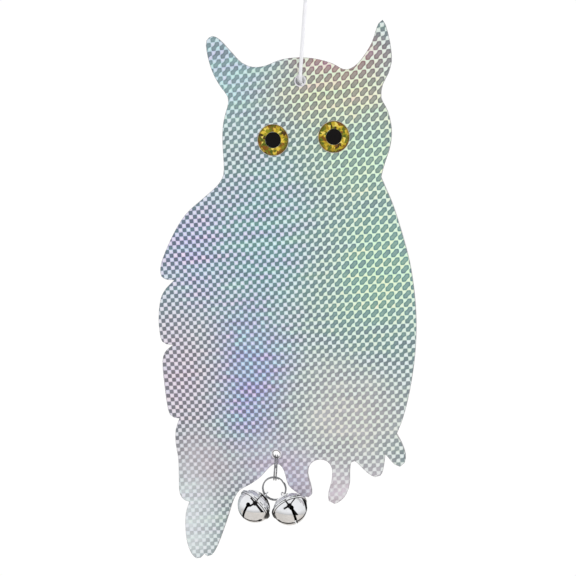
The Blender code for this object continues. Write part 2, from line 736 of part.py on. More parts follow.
owl = pivot("owl_pivot", STRAND_END)
bight, bight_end = cord_bight(cord_white)
stopper_half = (STOPPER_WIDTH / 2, STOPPER_WIDTH / 2, STOPPER_DEPTH / 2)
stopper_centre = Vector((0, BACK_Y + SEAT_GAP + STOPPER_DEPTH / 2, bight_end.z))
stopper = wrapped_ball("cord_stopper_knot", stopper_centre, stopper_half, Vector((0, -1, 0)), cord_white)
hang_from(owl, bight, stopper)
hang_from(owl, *owl_sheets(foil, board, gold, black))

plate_ring_axis = Vector((CHAIN_X, PLATE_Y, CHAIN_AXIS_Z))
ring_turned = Matrix.Rotation(math.radians(PLATE_RING_TURN), 3, "Z")
plate_ring = split_ring(
    "plate_ring",
    PLATE_RING_RADIUS,
    PLATE_RING_STEP_AT,
    ring_turned @ Vector((0, 1, 0)),
    ring_turned @ Vector((1, 0, 0)),
    Vector((CHAIN_X, PLATE_Y, PLATE_RING_Z)),
    plate_ring_axis,
    ring_steel,
)
bell_ring_centre = Vector((CHAIN_X, PLATE_Y, BELL_RING_Z))
bell_ring = split_ring(
    "bell_ring",
    BELL_RING_RADIUS,
    BELL_RING_STEP_AT,
    Vector((1, 0, 0)),
    Vector((0, 1, 0)),
    bell_ring_centre,
    bell_ring_centre,
    ring_steel,
)
hang_from(owl, plate_ring, bell_ring)
for side, facts in BELLS.items():
    bell(side, facts["ring_angle"], facts["lean"], facts["slot_turn"], owl, bell_steel, ball_steel)

for name, spot in (
    ("strand end", STRAND_END),
    ("knot centre", KNOT_CENTRE),
    ("stopper centre", stopper_centre),
    ("plate ring axis", plate_ring_axis),
    ("bell ring centre", bell_ring_centre),
):
    print(name, [round(1000 * value, 3) for value in spot])
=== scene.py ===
# %% [markdown]
# The object is a flat owl of stiff board, faced on both sides with chequered foil, that hangs on a cord and
# carries two jingle bells on a chain of two split rings. The solids of every piece come from the packed
# frame. This script gives each of them its finish, and makes finer meshes where the solid is coarse: the
# cord's braid and knots, the prismatic eyes, the wire rings and the bells.

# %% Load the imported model
import json
import math
import random

import bmesh
import bpy
from mathutils import Matrix, Vector


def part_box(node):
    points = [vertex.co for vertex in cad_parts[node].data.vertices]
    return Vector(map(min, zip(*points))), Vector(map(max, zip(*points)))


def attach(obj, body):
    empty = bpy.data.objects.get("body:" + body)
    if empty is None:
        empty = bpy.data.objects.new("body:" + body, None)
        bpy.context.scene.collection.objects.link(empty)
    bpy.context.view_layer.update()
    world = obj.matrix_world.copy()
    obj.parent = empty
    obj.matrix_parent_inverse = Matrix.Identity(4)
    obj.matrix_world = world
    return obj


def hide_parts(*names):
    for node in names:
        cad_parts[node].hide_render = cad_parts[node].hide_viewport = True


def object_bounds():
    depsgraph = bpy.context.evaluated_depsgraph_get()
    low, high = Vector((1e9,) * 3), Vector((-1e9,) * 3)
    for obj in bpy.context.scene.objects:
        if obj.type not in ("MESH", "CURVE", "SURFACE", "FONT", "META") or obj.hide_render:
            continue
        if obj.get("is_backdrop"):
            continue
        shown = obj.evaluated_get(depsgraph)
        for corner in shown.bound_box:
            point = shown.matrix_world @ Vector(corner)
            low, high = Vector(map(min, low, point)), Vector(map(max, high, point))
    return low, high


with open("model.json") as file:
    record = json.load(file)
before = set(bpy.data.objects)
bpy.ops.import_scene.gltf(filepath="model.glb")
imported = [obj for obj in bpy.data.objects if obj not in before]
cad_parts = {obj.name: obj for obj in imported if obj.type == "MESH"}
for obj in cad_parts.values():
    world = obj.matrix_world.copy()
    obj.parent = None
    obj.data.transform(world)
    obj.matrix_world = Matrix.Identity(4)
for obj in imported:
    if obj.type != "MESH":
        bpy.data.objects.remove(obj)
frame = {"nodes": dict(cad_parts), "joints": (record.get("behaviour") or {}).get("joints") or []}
nodes = frame["nodes"]
cad_low, cad_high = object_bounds()
joint_at = {joint["name"]: Vector(joint["pos_m"]) for joint in frame["joints"]}

# %% [markdown]
# A few short helpers carry most of the geometry. An arc is a direction swung from one axis towards another,
# a row of values is spread evenly, and a mesh is built as a BMesh and ends as an object at the origin.

# %% Helpers for directions, rows and objects
X_AXIS, Y_AXIS, Z_AXIS = Vector((1, 0, 0)), Vector((0, 1, 0)), Vector((0, 0, 1))


def swung(turn, first, second):
    """A direction swung by an angle from a first axis towards a second one."""
    return math.cos(turn) * first + math.sin(turn) * second


def spread(start, end, count):
    """Even steps from start to end, both included."""
    return [start + (end - start) * step / count for step in range(count + 1)]


def around(row):
    """Each member of a closed row with the one after it."""
    return zip(row, row[1:] + row[:1])


def new_object(name, data):
    made = bpy.data.objects.new(name, data)
    bpy.context.scene.collection.objects.link(made)
    return made


def mesh_object(name, work, *surfaces):
    """Keeps a finished BMesh as an object."""
    mesh = bpy.data.meshes.new(name)
    work.to_mesh(mesh)
    work.free()
    for surface in surfaces:
        mesh.materials.append(surface)
    return new_object(name, mesh)


def round_bar(radius, depth, segments):
    work = bmesh.new()
    bmesh.ops.create_cone(work, cap_ends=True, segments=segments, radius1=radius, radius2=radius, depth=depth)
    return work


def finished_mesh(carrier):
    """What an object's modifiers make of it, as a plain mesh."""
    bpy.context.view_layer.update()
    graph = bpy.context.evaluated_depsgraph_get()
    return bpy.data.meshes.new_from_object(carrier.evaluated_get(graph))


print("geometry helpers ready")

# %% [markdown]
# The camera comes first, because the cord has to end just outside its view. A picture taken from a little
# above and a little to the right shows the plate slightly turned. The camera is a point at a distance from
# the place that it aims at, and its three axes are worked out from two angles and a roll, which leans the
# hanging cord in the picture.

# %% The camera
AIM = Vector((0.001107, -0.0004, -0.23451))
DISTANCE = 0.752
AZIMUTH = math.radians(10)
ELEVATION = math.radians(10)
ROLL = math.radians(3.85)
SENSOR_MM = 36
FOCAL_PIXELS = 1100
PICTURE_PIXELS = 576
NEAREST_SEEN = 0.01

level = swung(AZIMUTH, X_AXIS, Y_AXIS)
back = swung(ELEVATION, swung(AZIMUTH, -Y_AXIS, X_AXIS), Z_AXIS)
upright = back.cross(level)
across = swung(ROLL, level, upright)
upward = swung(ROLL, upright, -level)
lens = bpy.data.cameras.new("camera")
lens.sensor_width = SENSOR_MM
lens.lens = FOCAL_PIXELS / PICTURE_PIXELS * SENSOR_MM
lens.clip_start = NEAREST_SEEN
camera = new_object("camera", lens)
camera_turn = Matrix([across, upward, back]).transposed().to_4x4()
camera.matrix_world = Matrix.Translation(AIM + DISTANCE * back) @ camera_turn
bpy.context.scene.camera = camera
print("camera at", [round(value, 4) for value in camera.location], "lens", round(lens.lens, 2), "mm")

# %% [markdown]
# Blender builds a material or a Geometry Nodes tree out of nodes and links. One helper does both jobs in
# each kind of tree: it adds a node, sets its own settings, and fills each input with a plain value or with
# the output of another node. A Measure is a number that a tree works out at each point. Python's own signs
# are taught to add and multiply it with further nodes, so that a formula made of nodes still reads as a
# formula.


# %% Helpers that wire nodes
def plug(tree, target, value):
    """Fills an input with a plain value, another node's output or a Measure."""
    if isinstance(value, Measure):
        value = value.socket
    if isinstance(value, bpy.types.NodeSocket):
        tree.links.new(value, target)
    else:
        target.default_value = value


def add_node(tree, kind, inputs=None, **settings):
    """One node, with its settings and with its inputs by name or number."""
    node = tree.nodes.new(kind)
    for name, value in settings.items():
        setattr(node, name, value)
    for key, value in (inputs or {}).items():
        plug(tree, node.inputs[key], value)
    return node


class Measure:
    """A number that a node tree works out, from an output of one of its nodes."""

    def __init__(self, tree, socket):
        self.tree = tree
        self.socket = socket

    def by(self, operation, *others):
        """The result of a math node that starts with this number."""
        made = add_node(self.tree, "ShaderNodeMath", dict(enumerate((self, *others))), operation=operation)
        return Measure(self.tree, made.outputs[0])

    def __add__(self, other):
        return self.by("ADD", other)

    def __sub__(self, other):
        return self.by("SUBTRACT", other)

    def __mul__(self, other):
        return self.by("MULTIPLY", other)

    def __truediv__(self, other):
        return self.by("DIVIDE", other)

    def scaled(self, factor, offset):
        """Times a factor, plus an offset, in a single node."""
        return self.by("MULTIPLY_ADD", factor, offset)

    def most(self, other):
        return self.by("MAXIMUM", other)

    def size(self):
        return self.by("ABSOLUTE")

    def eased(self, low, high):
        """0 at low, 1 at high, and smooth between. Low may be the larger one."""
        inputs = {"Value": self, "From Min": low, "From Max": high}
        made = add_node(self.tree, "ShaderNodeMapRange", inputs, interpolation_type="SMOOTHSTEP")
        return Measure(self.tree, made.outputs[0])


def vector_math(tree, operation, first, second):
    """The output of a vector math node: a vector, or a Measure where there is just one number."""
    made = add_node(tree, "ShaderNodeVectorMath", {0: first}, operation=operation)
    plug(tree, made.inputs["Scale" if operation == "SCALE" else 1], second)
    if operation in ("DOT_PRODUCT", "DISTANCE"):
        return Measure(tree, made.outputs["Value"])
    return made.outputs[0]


def parts_of(tree, vector):
    """The three Measures of a vector."""
    return [Measure(tree, part) for part in add_node(tree, "ShaderNodeSeparateXYZ", {0: vector}).outputs]


def object_place(tree):
    return add_node(tree, "ShaderNodeTexCoord").outputs["Object"]


def noise(tree, scale, detail, place=None):
    """Soft random values over the object, or over another place."""
    inputs = {"Vector": object_place(tree) if place is None else place, "Scale": scale, "Detail": detail}
    return Measure(tree, add_node(tree, "ShaderNodeTexNoise", inputs).outputs[0])


def colour_mix(tree, share, first, second):
    """A first colour that turns into a second one as the share goes from 0 to 1."""
    made = add_node(tree, "ShaderNodeMix", {0: share}, data_type="RGBA")
    for key, colour in ((6, first), (7, second)):
        plug(tree, made.inputs[key], (*colour, 1) if isinstance(colour, tuple) else colour)
    return made.outputs[2]


def finish_named(name, colour, roughness, metallic):
    """A material with its node tree and its Principled shader."""
    made = bpy.data.materials.new(name)
    made.use_nodes = True
    shader = made.node_tree.nodes["Principled BSDF"]
    shader.inputs["Base Color"].default_value = (*colour, 1)
    shader.inputs["Roughness"].default_value = roughness
    shader.inputs["Metallic"].default_value = metallic
    return made, made.node_tree, shader


def paint(tree, shader, colour):
    tree.links.new(colour, shader.inputs["Base Color"])


def emboss(tree, shader, height, strength, distance):
    """Raises a surface by a height, on top of the relief that it already has."""
    made = add_node(tree, "ShaderNodeBump", {"Strength": strength, "Distance": distance, "Height": height})
    for link in list(shader.inputs["Normal"].links):
        tree.links.new(link.from_socket, made.inputs["Normal"])
    tree.links.new(made.outputs[0], shader.inputs["Normal"])


def dress(name, surface):
    """Gives a CAD node its finish."""
    slots = nodes[name].data.materials
    slots.clear()
    slots.append(surface)


print("node helpers ready")

# %% [markdown]
# The stage is a pale round table well below the owl, inside a white tent. A polished bell shows whatever is
# round it, so both matter: the table gives the bells their warm lower half, and the dark gaps between the
# tent's cloths give them a black star. The gaps run together at the place where the camera looks in.

# %% The table
TABLE_DROP = 0.30
TABLE_RADIUS = 0.60
TABLE_THICKNESS = 0.02
TABLE_SIDES = 96
STONE = (0.68, 0.64, 0.59)
PALE_STONE = (0.74, 0.70, 0.65)

table_stone, tree, shader = finish_named("table_stone", STONE, 0.7, 0)
paint(tree, shader, colour_mix(tree, noise(tree, 9, 4).eased(0.3, 0.7), STONE, PALE_STONE))
work = round_bar(TABLE_RADIUS, TABLE_THICKNESS, TABLE_SIDES)
bmesh.ops.translate(work, verts=work.verts, vec=(0, 0, cad_low.z - TABLE_DROP - TABLE_THICKNESS / 2))
table = mesh_object("table", work, table_stone)
table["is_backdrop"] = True
print("table top at", round(cad_low.z - TABLE_DROP, 3), "m")

# %% The tent round it, and its dark gaps
TENT_LOW = (0.42, 0.41, 0.40)
TENT_HIGH = (0.93, 0.94, 0.96)
GAP_BLACK = (0.008, 0.008, 0.008)
STAR_RISE = math.radians(20)
STAR_GAPS = [
    # (turn in the picture in degrees, half width, how far round from the star's middle in degrees)
    (-48, 0.150, 100),
    (55, 0.075, 160),
    (128, 0.110, 52),
    (207, 0.130, 47),
]
DOOR_TURN = math.radians(14)
DOOR_BEHIND = 1.25
DOOR_EDGE = (0.88, 0.94)

surround = bpy.data.worlds.new("surround")
surround.use_nodes = True
bpy.context.scene.world = surround
tree = surround.node_tree
tree.nodes.clear()
look = add_node(tree, "ShaderNodeTexCoord").outputs["Generated"]
look_rise = parts_of(tree, look)[2]
star_middle = swung(STAR_RISE, back, upward)
star_up = swung(STAR_RISE, upward, -back)


def look_along(line):
    return vector_math(tree, "DOT_PRODUCT", look, line)


def cosine(degrees):
    return math.cos(math.radians(degrees))


toward = look_along(star_middle)
gap_dark = toward.eased(cosine(20), cosine(12))
for turn, half_width, reach in STAR_GAPS:
    turn = math.radians(turn)
    thin = look_along(swung(turn, star_up, -across)).size().eased(half_width, half_width * 0.6)
    one_way = look_along(swung(turn, across, star_up)).eased(0.0, 0.06)
    end = toward.eased(cosine(reach), cosine(reach) + 0.12)
    gap_dark = gap_dark.most(thin * (one_way * end))
door = (swung(DOOR_TURN, across, upward) - DOOR_BEHIND * back).normalized()
gap_dark = gap_dark.most(look_along(door).eased(*DOOR_EDGE))
room = colour_mix(tree, look_rise.eased(-0.75, -0.1), TENT_LOW, TENT_HIGH)
room = colour_mix(tree, gap_dark, room, GAP_BLACK)
seen = add_node(tree, "ShaderNodeBackground", {"Color": (1, 1, 1, 1), "Strength": 1.02})
lit = add_node(tree, "ShaderNodeBackground", {"Color": room, "Strength": 1.0})
eye_ray = add_node(tree, "ShaderNodeLightPath").outputs["Is Camera Ray"]
both = add_node(tree, "ShaderNodeMixShader", {0: eye_ray, 1: lit.outputs[0], 2: seen.outputs[0]})
add_node(tree, "ShaderNodeOutputWorld", {"Surface": both.outputs[0]})
print("gaps in the tent:", len(STAR_GAPS) + 1)

# %% One soft lamp from the upper right, which rounds the cord
LAMP_PLACE = Vector((0.75, -0.9, 0.55))
LAMP_BACK = Vector((0.75, -0.9, 0.75))
LAMP_ACROSS = 0.7
LAMP_WATTS = 9

lamp_data = bpy.data.lights.new("soft_lamp", "AREA")
lamp_data.shape = "DISK"
lamp_data.size = LAMP_ACROSS
lamp_data.energy = LAMP_WATTS
lamp = new_object("soft_lamp", lamp_data)
lamp.matrix_world = Matrix.Translation(LAMP_PLACE) @ LAMP_BACK.to_track_quat("Z", "Y").to_matrix().to_4x4()
lamp.visible_glossy = False
bpy.context.scene.view_settings.view_transform = "Standard"
print("lamp", round((LAMP_PLACE - AIM).length, 2), "m from the owl")

# %% [markdown]
# The sheets' rims are read from the solids: a rim is a closed row of edges where the flat face meets a wall.
# The longest one is the owl's outline, and the other two are the punched holes, which the finishes need to
# know.

# %% Rims and holes, read from the solids
WELD = 0.000002
FLAT_COSINE = 0.9


def rim_loops(name, face_y):
    """The closed rows of points where a sheet's face at face_y meets its walls, the longest one first."""
    sheet = bmesh.new()
    sheet.from_mesh(nodes[name].data)
    bmesh.ops.remove_doubles(sheet, verts=sheet.verts, dist=WELD)
    beside = {}
    for edge in sheet.edges:
        at_face = all(abs(vert.co.y - face_y) < 5 * WELD for vert in edge.verts)
        if at_face and sum(abs(face.normal.y) > FLAT_COSINE for face in edge.link_faces) == 1:
            one, other = edge.verts
            beside.setdefault(one, []).append(other)
            beside.setdefault(other, []).append(one)
    loops = []
    while beside:
        here = next(iter(beside))
        loop = []
        while here in beside:
            loop.append(here.co.copy())
            ways = beside.pop(here)
            here = next((vert for vert in ways if vert in beside), None)
        loops.append(loop)
    sheet.free()
    return sorted(loops, key=len, reverse=True)


def round_hole(loop):
    """The middle and the radius of a hole's rim, as x, z and radius."""
    middle = sum(loop, Vector()) / len(loop)
    return middle.x, middle.z, max((point - middle).length for point in loop)


sheet_low, sheet_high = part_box("foil_front")
sheet_size = sheet_high - sheet_low
punched = [round_hole(loop) for loop in rim_loops("foil_front", sheet_low.y)[1:]]
chain_hole, head_hole = sorted(punched, key=lambda hole: hole[1])
print("head hole", [round(v, 6) for v in head_hole], "chain hole", [round(v, 6) for v in chain_hole])

# %% [markdown]
# Holographic foil is a metallised film pressed with fine grooves in small squares. Squares of one direction
# send the light to the eye and look pale, the others send it elsewhere and look dark, and each part of the
# sheet shows another colour. A picture could hold that, but a formula is sharper at any distance: the
# product of two sines is a chequer with rounded corners. A second wave, half a square aside, swells one
# corner of each dark square, so that these run together in pairs towards the head and the right. Broad soft
# patches of colour, placed as shares of the sheet, long faint streaks along the rows, and a small
# change of hue from square to square do the rest.

# %% The foil's squares
SQUARE_SIDE = 0.00284
ROW_TURN = math.radians(9.6)

holo_foil, tree, foil_shader = finish_named("holo_foil", (0.8, 0.85, 0.86), 0.34, 0.35)
x, z = parts_of(tree, object_place(tree))[::2]


def along_row(turn_x, turn_z):
    """A coordinate along or across the rows, counted in squares."""
    return z.scaled(turn_z / SQUARE_SIDE, x * (turn_x / SQUARE_SIDE))


column = along_row(math.cos(ROW_TURN), math.sin(ROW_TURN))
row = along_row(-math.sin(ROW_TURN), math.cos(ROW_TURN))


def wave(value, kind):
    return (value * math.pi).by(kind)


chequer = wave(column, "SINE") * wave(row, "SINE")
pairing = wave(column, "COSINE").scaled(-0.5, 0.5) * wave(row, "COSINE").scaled(-0.5, 0.5)


def distance_of(first, second):
    return first.scaled(first, second * second).by("SQRT")


def near_holes(x, z, reach, soft):
    """1 on the rims of the two punched holes out to a reach, and 0 farther off."""
    total = 0.0
    for hole_x, hole_z, radius in (head_hole, chain_hole):
        off_middle = distance_of(x - hole_x, z - hole_z)
        total = off_middle.eased(radius + reach + soft, radius + reach).most(total)
    return total


print("squares across the sheet:", round(sheet_size.x / SQUARE_SIDE))

# %% Patches of colour on the foil, as shares of the sheet from its lower left corner
PATCHES = [
    # (name, across, up, reach across, reach up, colour of pale squares, colour of dark squares, how paired)
    ("cyan brow", 0.20, 0.90, 0.42, 0.17, (0.64, 0.82, 0.88), (0.22, 0.34, 0.37), 0.40),
    ("straw brow", 0.64, 0.87, 0.40, 0.11, (0.91, 0.94, 0.68), (0.20, 0.19, 0.16), 0.95),
    ("rose crown", 0.62, 0.94, 0.28, 0.06, (0.90, 0.88, 0.72), (0.36, 0.13, 0.17), 0.95),
    ("green cheek", 0.74, 0.77, 0.38, 0.12, (0.82, 0.98, 0.75), (0.14, 0.26, 0.23), 0.85),
    ("mint shoulder", 0.84, 0.58, 0.40, 0.22, (0.80, 0.98, 0.73), (0.10, 0.29, 0.28), 0.85),
    ("lilac shoulder", 0.14, 0.58, 0.30, 0.22, (0.73, 0.71, 0.96), (0.10, 0.15, 0.23), 0.0),
    ("blue breast", 0.40, 0.60, 0.28, 0.26, (0.67, 0.80, 0.90), (0.10, 0.25, 0.26), 0.08),
    ("violet belly", 0.38, 0.35, 0.26, 0.21, (0.56, 0.62, 0.92), (0.16, 0.19, 0.30), 0.0),
    ("rose flank", 0.10, 0.34, 0.26, 0.20, (0.84, 0.74, 0.86), (0.19, 0.17, 0.21), 0.0),
    ("pearl thigh", 0.76, 0.30, 0.38, 0.16, (0.79, 0.82, 0.74), (0.45, 0.44, 0.46), 0.30),
    ("grey claw", 0.82, 0.15, 0.44, 0.12, (0.76, 0.74, 0.76), (0.74, 0.66, 0.72), 0.20),
    ("grey thigh", 0.22, 0.18, 0.26, 0.10, (0.68, 0.66, 0.72), (0.44, 0.40, 0.44), 0.05),
    ("lilac lap", 0.50, 0.18, 0.26, 0.11, (0.70, 0.66, 0.80), (0.48, 0.43, 0.53), 0.10),
    ("pale tail", 0.14, 0.06, 0.26, 0.16, (0.84, 0.90, 0.93), (0.75, 0.80, 0.82), 0.10),
]
EASE_FAR, EASE_NEAR = 1.25, 0.35


def off_patch(value, axis, share, reach):
    """How far a point is from a patch's middle along an axis, counted in the patch's reach."""
    start = sheet_low[axis] / sheet_size[axis] + share
    return value.scaled(1 / (reach * sheet_size[axis]), -start / reach)


wander = noise(tree, 22, 2)
pale = (0.76, 0.86, 0.84)
dark = (0.17, 0.25, 0.26)
joined = 0.08
for name, share_x, share_z, reach_x, reach_z, pale_patch, dark_patch, pair_patch in PATCHES:
    far = distance_of(off_patch(x, 0, share_x, reach_x), off_patch(z, 2, share_z, reach_z))
    share = wander.scaled(0.5, far).eased(EASE_FAR, EASE_NEAR)
    pale = colour_mix(tree, share, pale, pale_patch)
    dark = colour_mix(tree, share, dark, dark_patch)
    mixed = add_node(tree, "ShaderNodeMix", {0: share, 2: joined, 3: pair_patch}, data_type="FLOAT")
    joined = Measure(tree, mixed.outputs[0])
print("colour patches:", len(PATCHES))

# %% Pale and dark squares, each a little different from its neighbours
WHITE = (1, 1, 1)
INK = (0.02, 0.03, 0.04)
SPREAD_OF_HUE = 0.13
SPREAD_OF_TONE = 0.22

relief = chequer + joined * pairing.scaled(2.5, -0.14)
in_dark = relief.eased(-0.13, 0.13)
heart = relief.eased(0.60, 1.30) * joined.scaled(0.22, 0.05)
pearl = relief.eased(-0.50, -1.0) * 0.6
cell = add_node(tree, "ShaderNodeCombineXYZ", {0: column.by("FLOOR"), 1: row.by("FLOOR")}).outputs[0]
thrown = add_node(tree, "ShaderNodeTexWhiteNoise", {"Vector": cell}, noise_dimensions="2D")
chance = Measure(tree, thrown.outputs["Value"])
stripes = add_node(tree, "ShaderNodeCombineXYZ", {0: column * 0.07, 1: row * 0.42}).outputs[0]
drift = noise(tree, 1, 1, stripes)
hue = drift.scaled(0.42, 0.29)


def recoloured(colour, saturation, hue, value):
    inputs = {"Color": colour, "Saturation": saturation, "Hue": hue, "Value": value}
    return add_node(tree, "ShaderNodeHueSaturation", inputs).outputs[0]


own_hue = chance.scaled(SPREAD_OF_HUE, hue - SPREAD_OF_HUE / 2)
pale = colour_mix(tree, 0.7, pale, recoloured(pale, 1.45, own_hue, 1))
pale = colour_mix(tree, pearl, pale, WHITE)
pale = colour_mix(tree, chance * SPREAD_OF_TONE, pale, WHITE)
dark = colour_mix(tree, 0.42, dark, recoloured(dark, 1.2, hue, drift.scaled(-1.4, 1.7)))
dark = colour_mix(tree, heart, dark, pale)
dark = colour_mix(tree, chance * SPREAD_OF_TONE, dark, INK)
squares = colour_mix(tree, 0.06, colour_mix(tree, in_dark, pale, dark), WHITE)
print("foil colours:", len(tree.nodes), "nodes")

# %% The foil round its holes, with painted shade in and over the chain hole, at its cut walls, and its pressed relief
HOLE_RIM = (0.82, 0.80, 0.84)
HOLE_WALL_SHADE = (0.05, 0.05, 0.05)
HOLE_SHADE = (0.02, 0.02, 0.02)
CUT_WALL = (0.30, 0.29, 0.30)
RIM_REACH, RIM_SOFT = 0.0007, 0.0006
WALL_SOFT = 0.00012
SHADE_ARC_REACH, SHADE_ARC_SOFT = 0.00035, 0.00030
SHADE_ARC_FROM, SHADE_ARC_TO = 0.0004, 0.0016
SHADE_ARC_FADE, SHADE_ARC_END = 0.0050, 0.0060
NEAR_A_HOLE = 0.02
chain_z = chain_hole[1]

squares = colour_mix(tree, near_holes(x, z, RIM_REACH, RIM_SOFT), squares, HOLE_RIM)
# Painted shade: the foil's wall in the chain hole is near black, and a painted shadow arc lies just outside
# the chain hole's upper rim.
chain_wall_shade = near_holes(x, z, 0.0, WALL_SOFT) * z.eased(chain_z + NEAR_A_HOLE, chain_z + NEAR_A_HOLE / 2)
squares = colour_mix(tree, chain_wall_shade, squares, HOLE_WALL_SHADE)
upper_shade_arc = z.eased(chain_z + SHADE_ARC_FROM, chain_z + SHADE_ARC_TO) * z.eased(chain_z + SHADE_ARC_END, chain_z + SHADE_ARC_FADE)
squares = colour_mix(tree, near_holes(x, z, SHADE_ARC_REACH, SHADE_ARC_SOFT) * upper_shade_arc, squares, HOLE_SHADE)
facing = parts_of(tree, add_node(tree, "ShaderNodeTexCoord").outputs["Normal"])[1]
squares = colour_mix(tree, facing.size().eased(0.7, 0.3) * 0.8, squares, CUT_WALL)
paint(tree, foil_shader, squares)
emboss(tree, foil_shader, relief, 0.25, 0.00008)
emboss(tree, foil_shader, noise(tree, 14, 1), 0.35, 0.0015)
foil_shader.inputs["Coat Weight"].default_value = 0.10
foil_shader.inputs["Coat Roughness"].default_value = 0.12
dress("foil_front", holo_foil)
dress("foil_back", holo_foil)
print("foil finished")

# %% [markdown]
# The board is white plastic that shows only at the cut edge and inside the holes. A die leaves that edge
# slightly matt and a touch grey where dust clings to it, so fine noise breaks up its colour and its gloss.

# %% The board
LIT_HOLE_RIM = (0.90, 0.90, 0.92)
DUST = (0.56, 0.56, 0.58)
DARK_DUST = (0.42, 0.41, 0.43)
LIT_RIM_REACH, LIT_RIM_SOFT = 0.0006, 0.0004
CRESCENT_FROM, CRESCENT_TO = -0.0006, -0.0022


def head_hole_tone(tree, tone):
    """Paints light and shade into the head hole over a colour: a lighter painted rim, with a painted shadow
    crescent in its lower left.
    """
    x, z = parts_of(tree, object_place(tree))[::2]
    hole_z = head_hole[1]
    rim = near_holes(x, z, LIT_RIM_REACH, LIT_RIM_SOFT) * z.eased(hole_z - NEAR_A_HOLE, hole_z - NEAR_A_HOLE / 2)
    crescent = rim * (x + (z - hole_z)).eased(CRESCENT_FROM, CRESCENT_TO)
    return colour_mix(tree, crescent, colour_mix(tree, rim, tone, LIT_HOLE_RIM), HOLE_SHADE)


board_white, tree, shader = finish_named("board_white", (0.84, 0.86, 0.87), 0.5, 0)
dust = noise(tree, 900, 3)
# Round the head hole the board is painted lighter, with a painted shadow crescent in the hole's lower left.
paint(tree, shader, head_hole_tone(tree, colour_mix(tree, dust.eased(0.4, 0.75), DUST, DARK_DUST)))
emboss(tree, shader, dust, 0.3, 0.00005)
dress("board_core", board_white)
print("board finished")

# %% [markdown]
# A wire, a cord's core and a punched rim are all one round section carried along a line. Geometry Nodes has
# this as Curve to Mesh. The tree below is built once, with its sizes as named inputs, and every rod of the
# object is made with it. A modifier's inputs are set by their identifiers, and new_from_object turns the
# result into a plain mesh.


# %% A round rod along a line, made with Geometry Nodes
def new_tree(name, **inputs):
    """A Geometry Nodes tree with a geometry input and output, and its named inputs as Measures."""
    tree = bpy.data.node_groups.new(name, "GeometryNodeTree")
    for label, kind in {"Line": "Geometry", **inputs}.items():
        tree.interface.new_socket(label, in_out="INPUT", socket_type="NodeSocket" + kind)
    tree.interface.new_socket("Geometry", in_out="OUTPUT", socket_type="NodeSocketGeometry")
    outputs = tree.nodes.new("NodeGroupInput").outputs
    return tree, {label: Measure(tree, outputs[label]) for label in ("Line", *inputs)}


def close_tree(tree, geometry, surface):
    """Every tree ends in Realize Instances and Set Material."""
    real = add_node(tree, "GeometryNodeRealizeInstances", {0: geometry})
    smooth = add_node(tree, "GeometryNodeSetShadeSmooth", {0: real.outputs[0]})
    dressed = add_node(tree, "GeometryNodeSetMaterial", {"Geometry": smooth.outputs[0], "Material": surface})
    add_node(tree, "NodeGroupOutput", {0: dressed.outputs[0]})


def line_object(name, points, closed=False):
    """A bare line through some points, as a curve object."""
    curve = bpy.data.curves.new(name, "CURVE")
    curve.dimensions = "3D"
    spline = curve.splines.new("POLY")
    spline.points.add(len(points) - 1)
    for spot, point in zip(spline.points, points):
        spot.co = (*point, 1)
    spline.use_cyclic_u = closed
    return new_object(name, curve)


def grow(name, carrier, tree, **values):
    """Runs a tree on an object and keeps the result as a plain mesh object at the origin."""
    step = carrier.modifiers.new("grow", "NODES")
    step.node_group = tree
    identifiers = {item.name: item.identifier for item in tree.interface.items_tree if item.in_out == "INPUT"}
    for label, value in values.items():
        step[identifiers[label]] = value
    mesh = finished_mesh(carrier)
    mesh.name = name
    carrier.modifiers.remove(step)
    bpy.data.objects.remove(carrier)
    return new_object(name, mesh)


def swept(tree, line, sides, radius):
    """A round section with a number of sides, carried along a line, with its ends closed."""
    section = add_node(tree, "GeometryNodeCurvePrimitiveCircle", {0: sides, "Radius": radius})
    inputs = {0: line, 1: section.outputs[0], "Fill Caps": True}
    return add_node(tree, "GeometryNodeCurveToMesh", inputs).outputs[0]


rod_tree, sizes = new_tree("rod", Radius="Float", Sides="Int", Surface="Material")
close_tree(rod_tree, swept(rod_tree, sizes["Line"], sizes["Sides"], sizes["Radius"]), sizes["Surface"])


def rod(name, points, radius, surface, sides=16, closed=False):
    carrier = line_object(name + "_line", points, closed)
    return grow(name, carrier, rod_tree, Radius=radius, Sides=sides, Surface=surface)


def seat(piece, body, slot_name, *stands_for):
    """Lets a piece ride on its body and hides the solids that it stands for. Its slot name is not used."""
    if stands_for:
        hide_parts(*stands_for)
    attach(piece, body)


print("rod tree:", len(rod_tree.nodes), "nodes")

# %% [markdown]
# Three sheets glued together show their make-up at the edge. A die presses the foil's edge down and leaves
# it grey and dull, and a little glue stands in the seam between foil and board. Both follow the sheet's own
# rims.

# %% The foils' cut edges and the glue in the seams
CUT_EDGE_RADIUS = 0.00013
CUT_EDGE_SUNK = 0.6
GLUE_INSET = 0.00025
LINE_SIDES = 6

cut_edge, tree, shader = finish_named("foil_cut_edge", (0.30, 0.27, 0.27), 0.55, 0.2)
edge_tone = colour_mix(tree, noise(tree, 420, 3).eased(0.35, 0.65), (0.40, 0.37, 0.38), (0.17, 0.15, 0.15))
# The cut edge round the head hole takes the same painted light and painted shadow crescent.
paint(tree, shader, head_hole_tone(tree, edge_tone))
glue_line, tree, shader = finish_named("glue_line", (0.60, 0.58, 0.50), 0.35, 0)
paint(tree, shader, colour_mix(tree, noise(tree, 260, 2), (0.66, 0.64, 0.57), (0.46, 0.43, 0.36)))


def drawn_in(loop, depth, outer, at_y):
    """A loop moved into its sheet by a depth, and laid at a height."""
    turning = sum(a.x * b.z - b.x * a.z for a, b in around(loop))
    sign = (1 if turning > 0 else -1) * (1 if outer else -1)
    moved = []
    for before, here, after in zip(loop[-1:] + loop[:-1], loop, loop[1:] + loop[:1]):
        run = (after - before).normalized()
        moved.append(Vector((here.x - sign * depth * run.z, at_y, here.z + sign * depth * run.x)))
    return moved


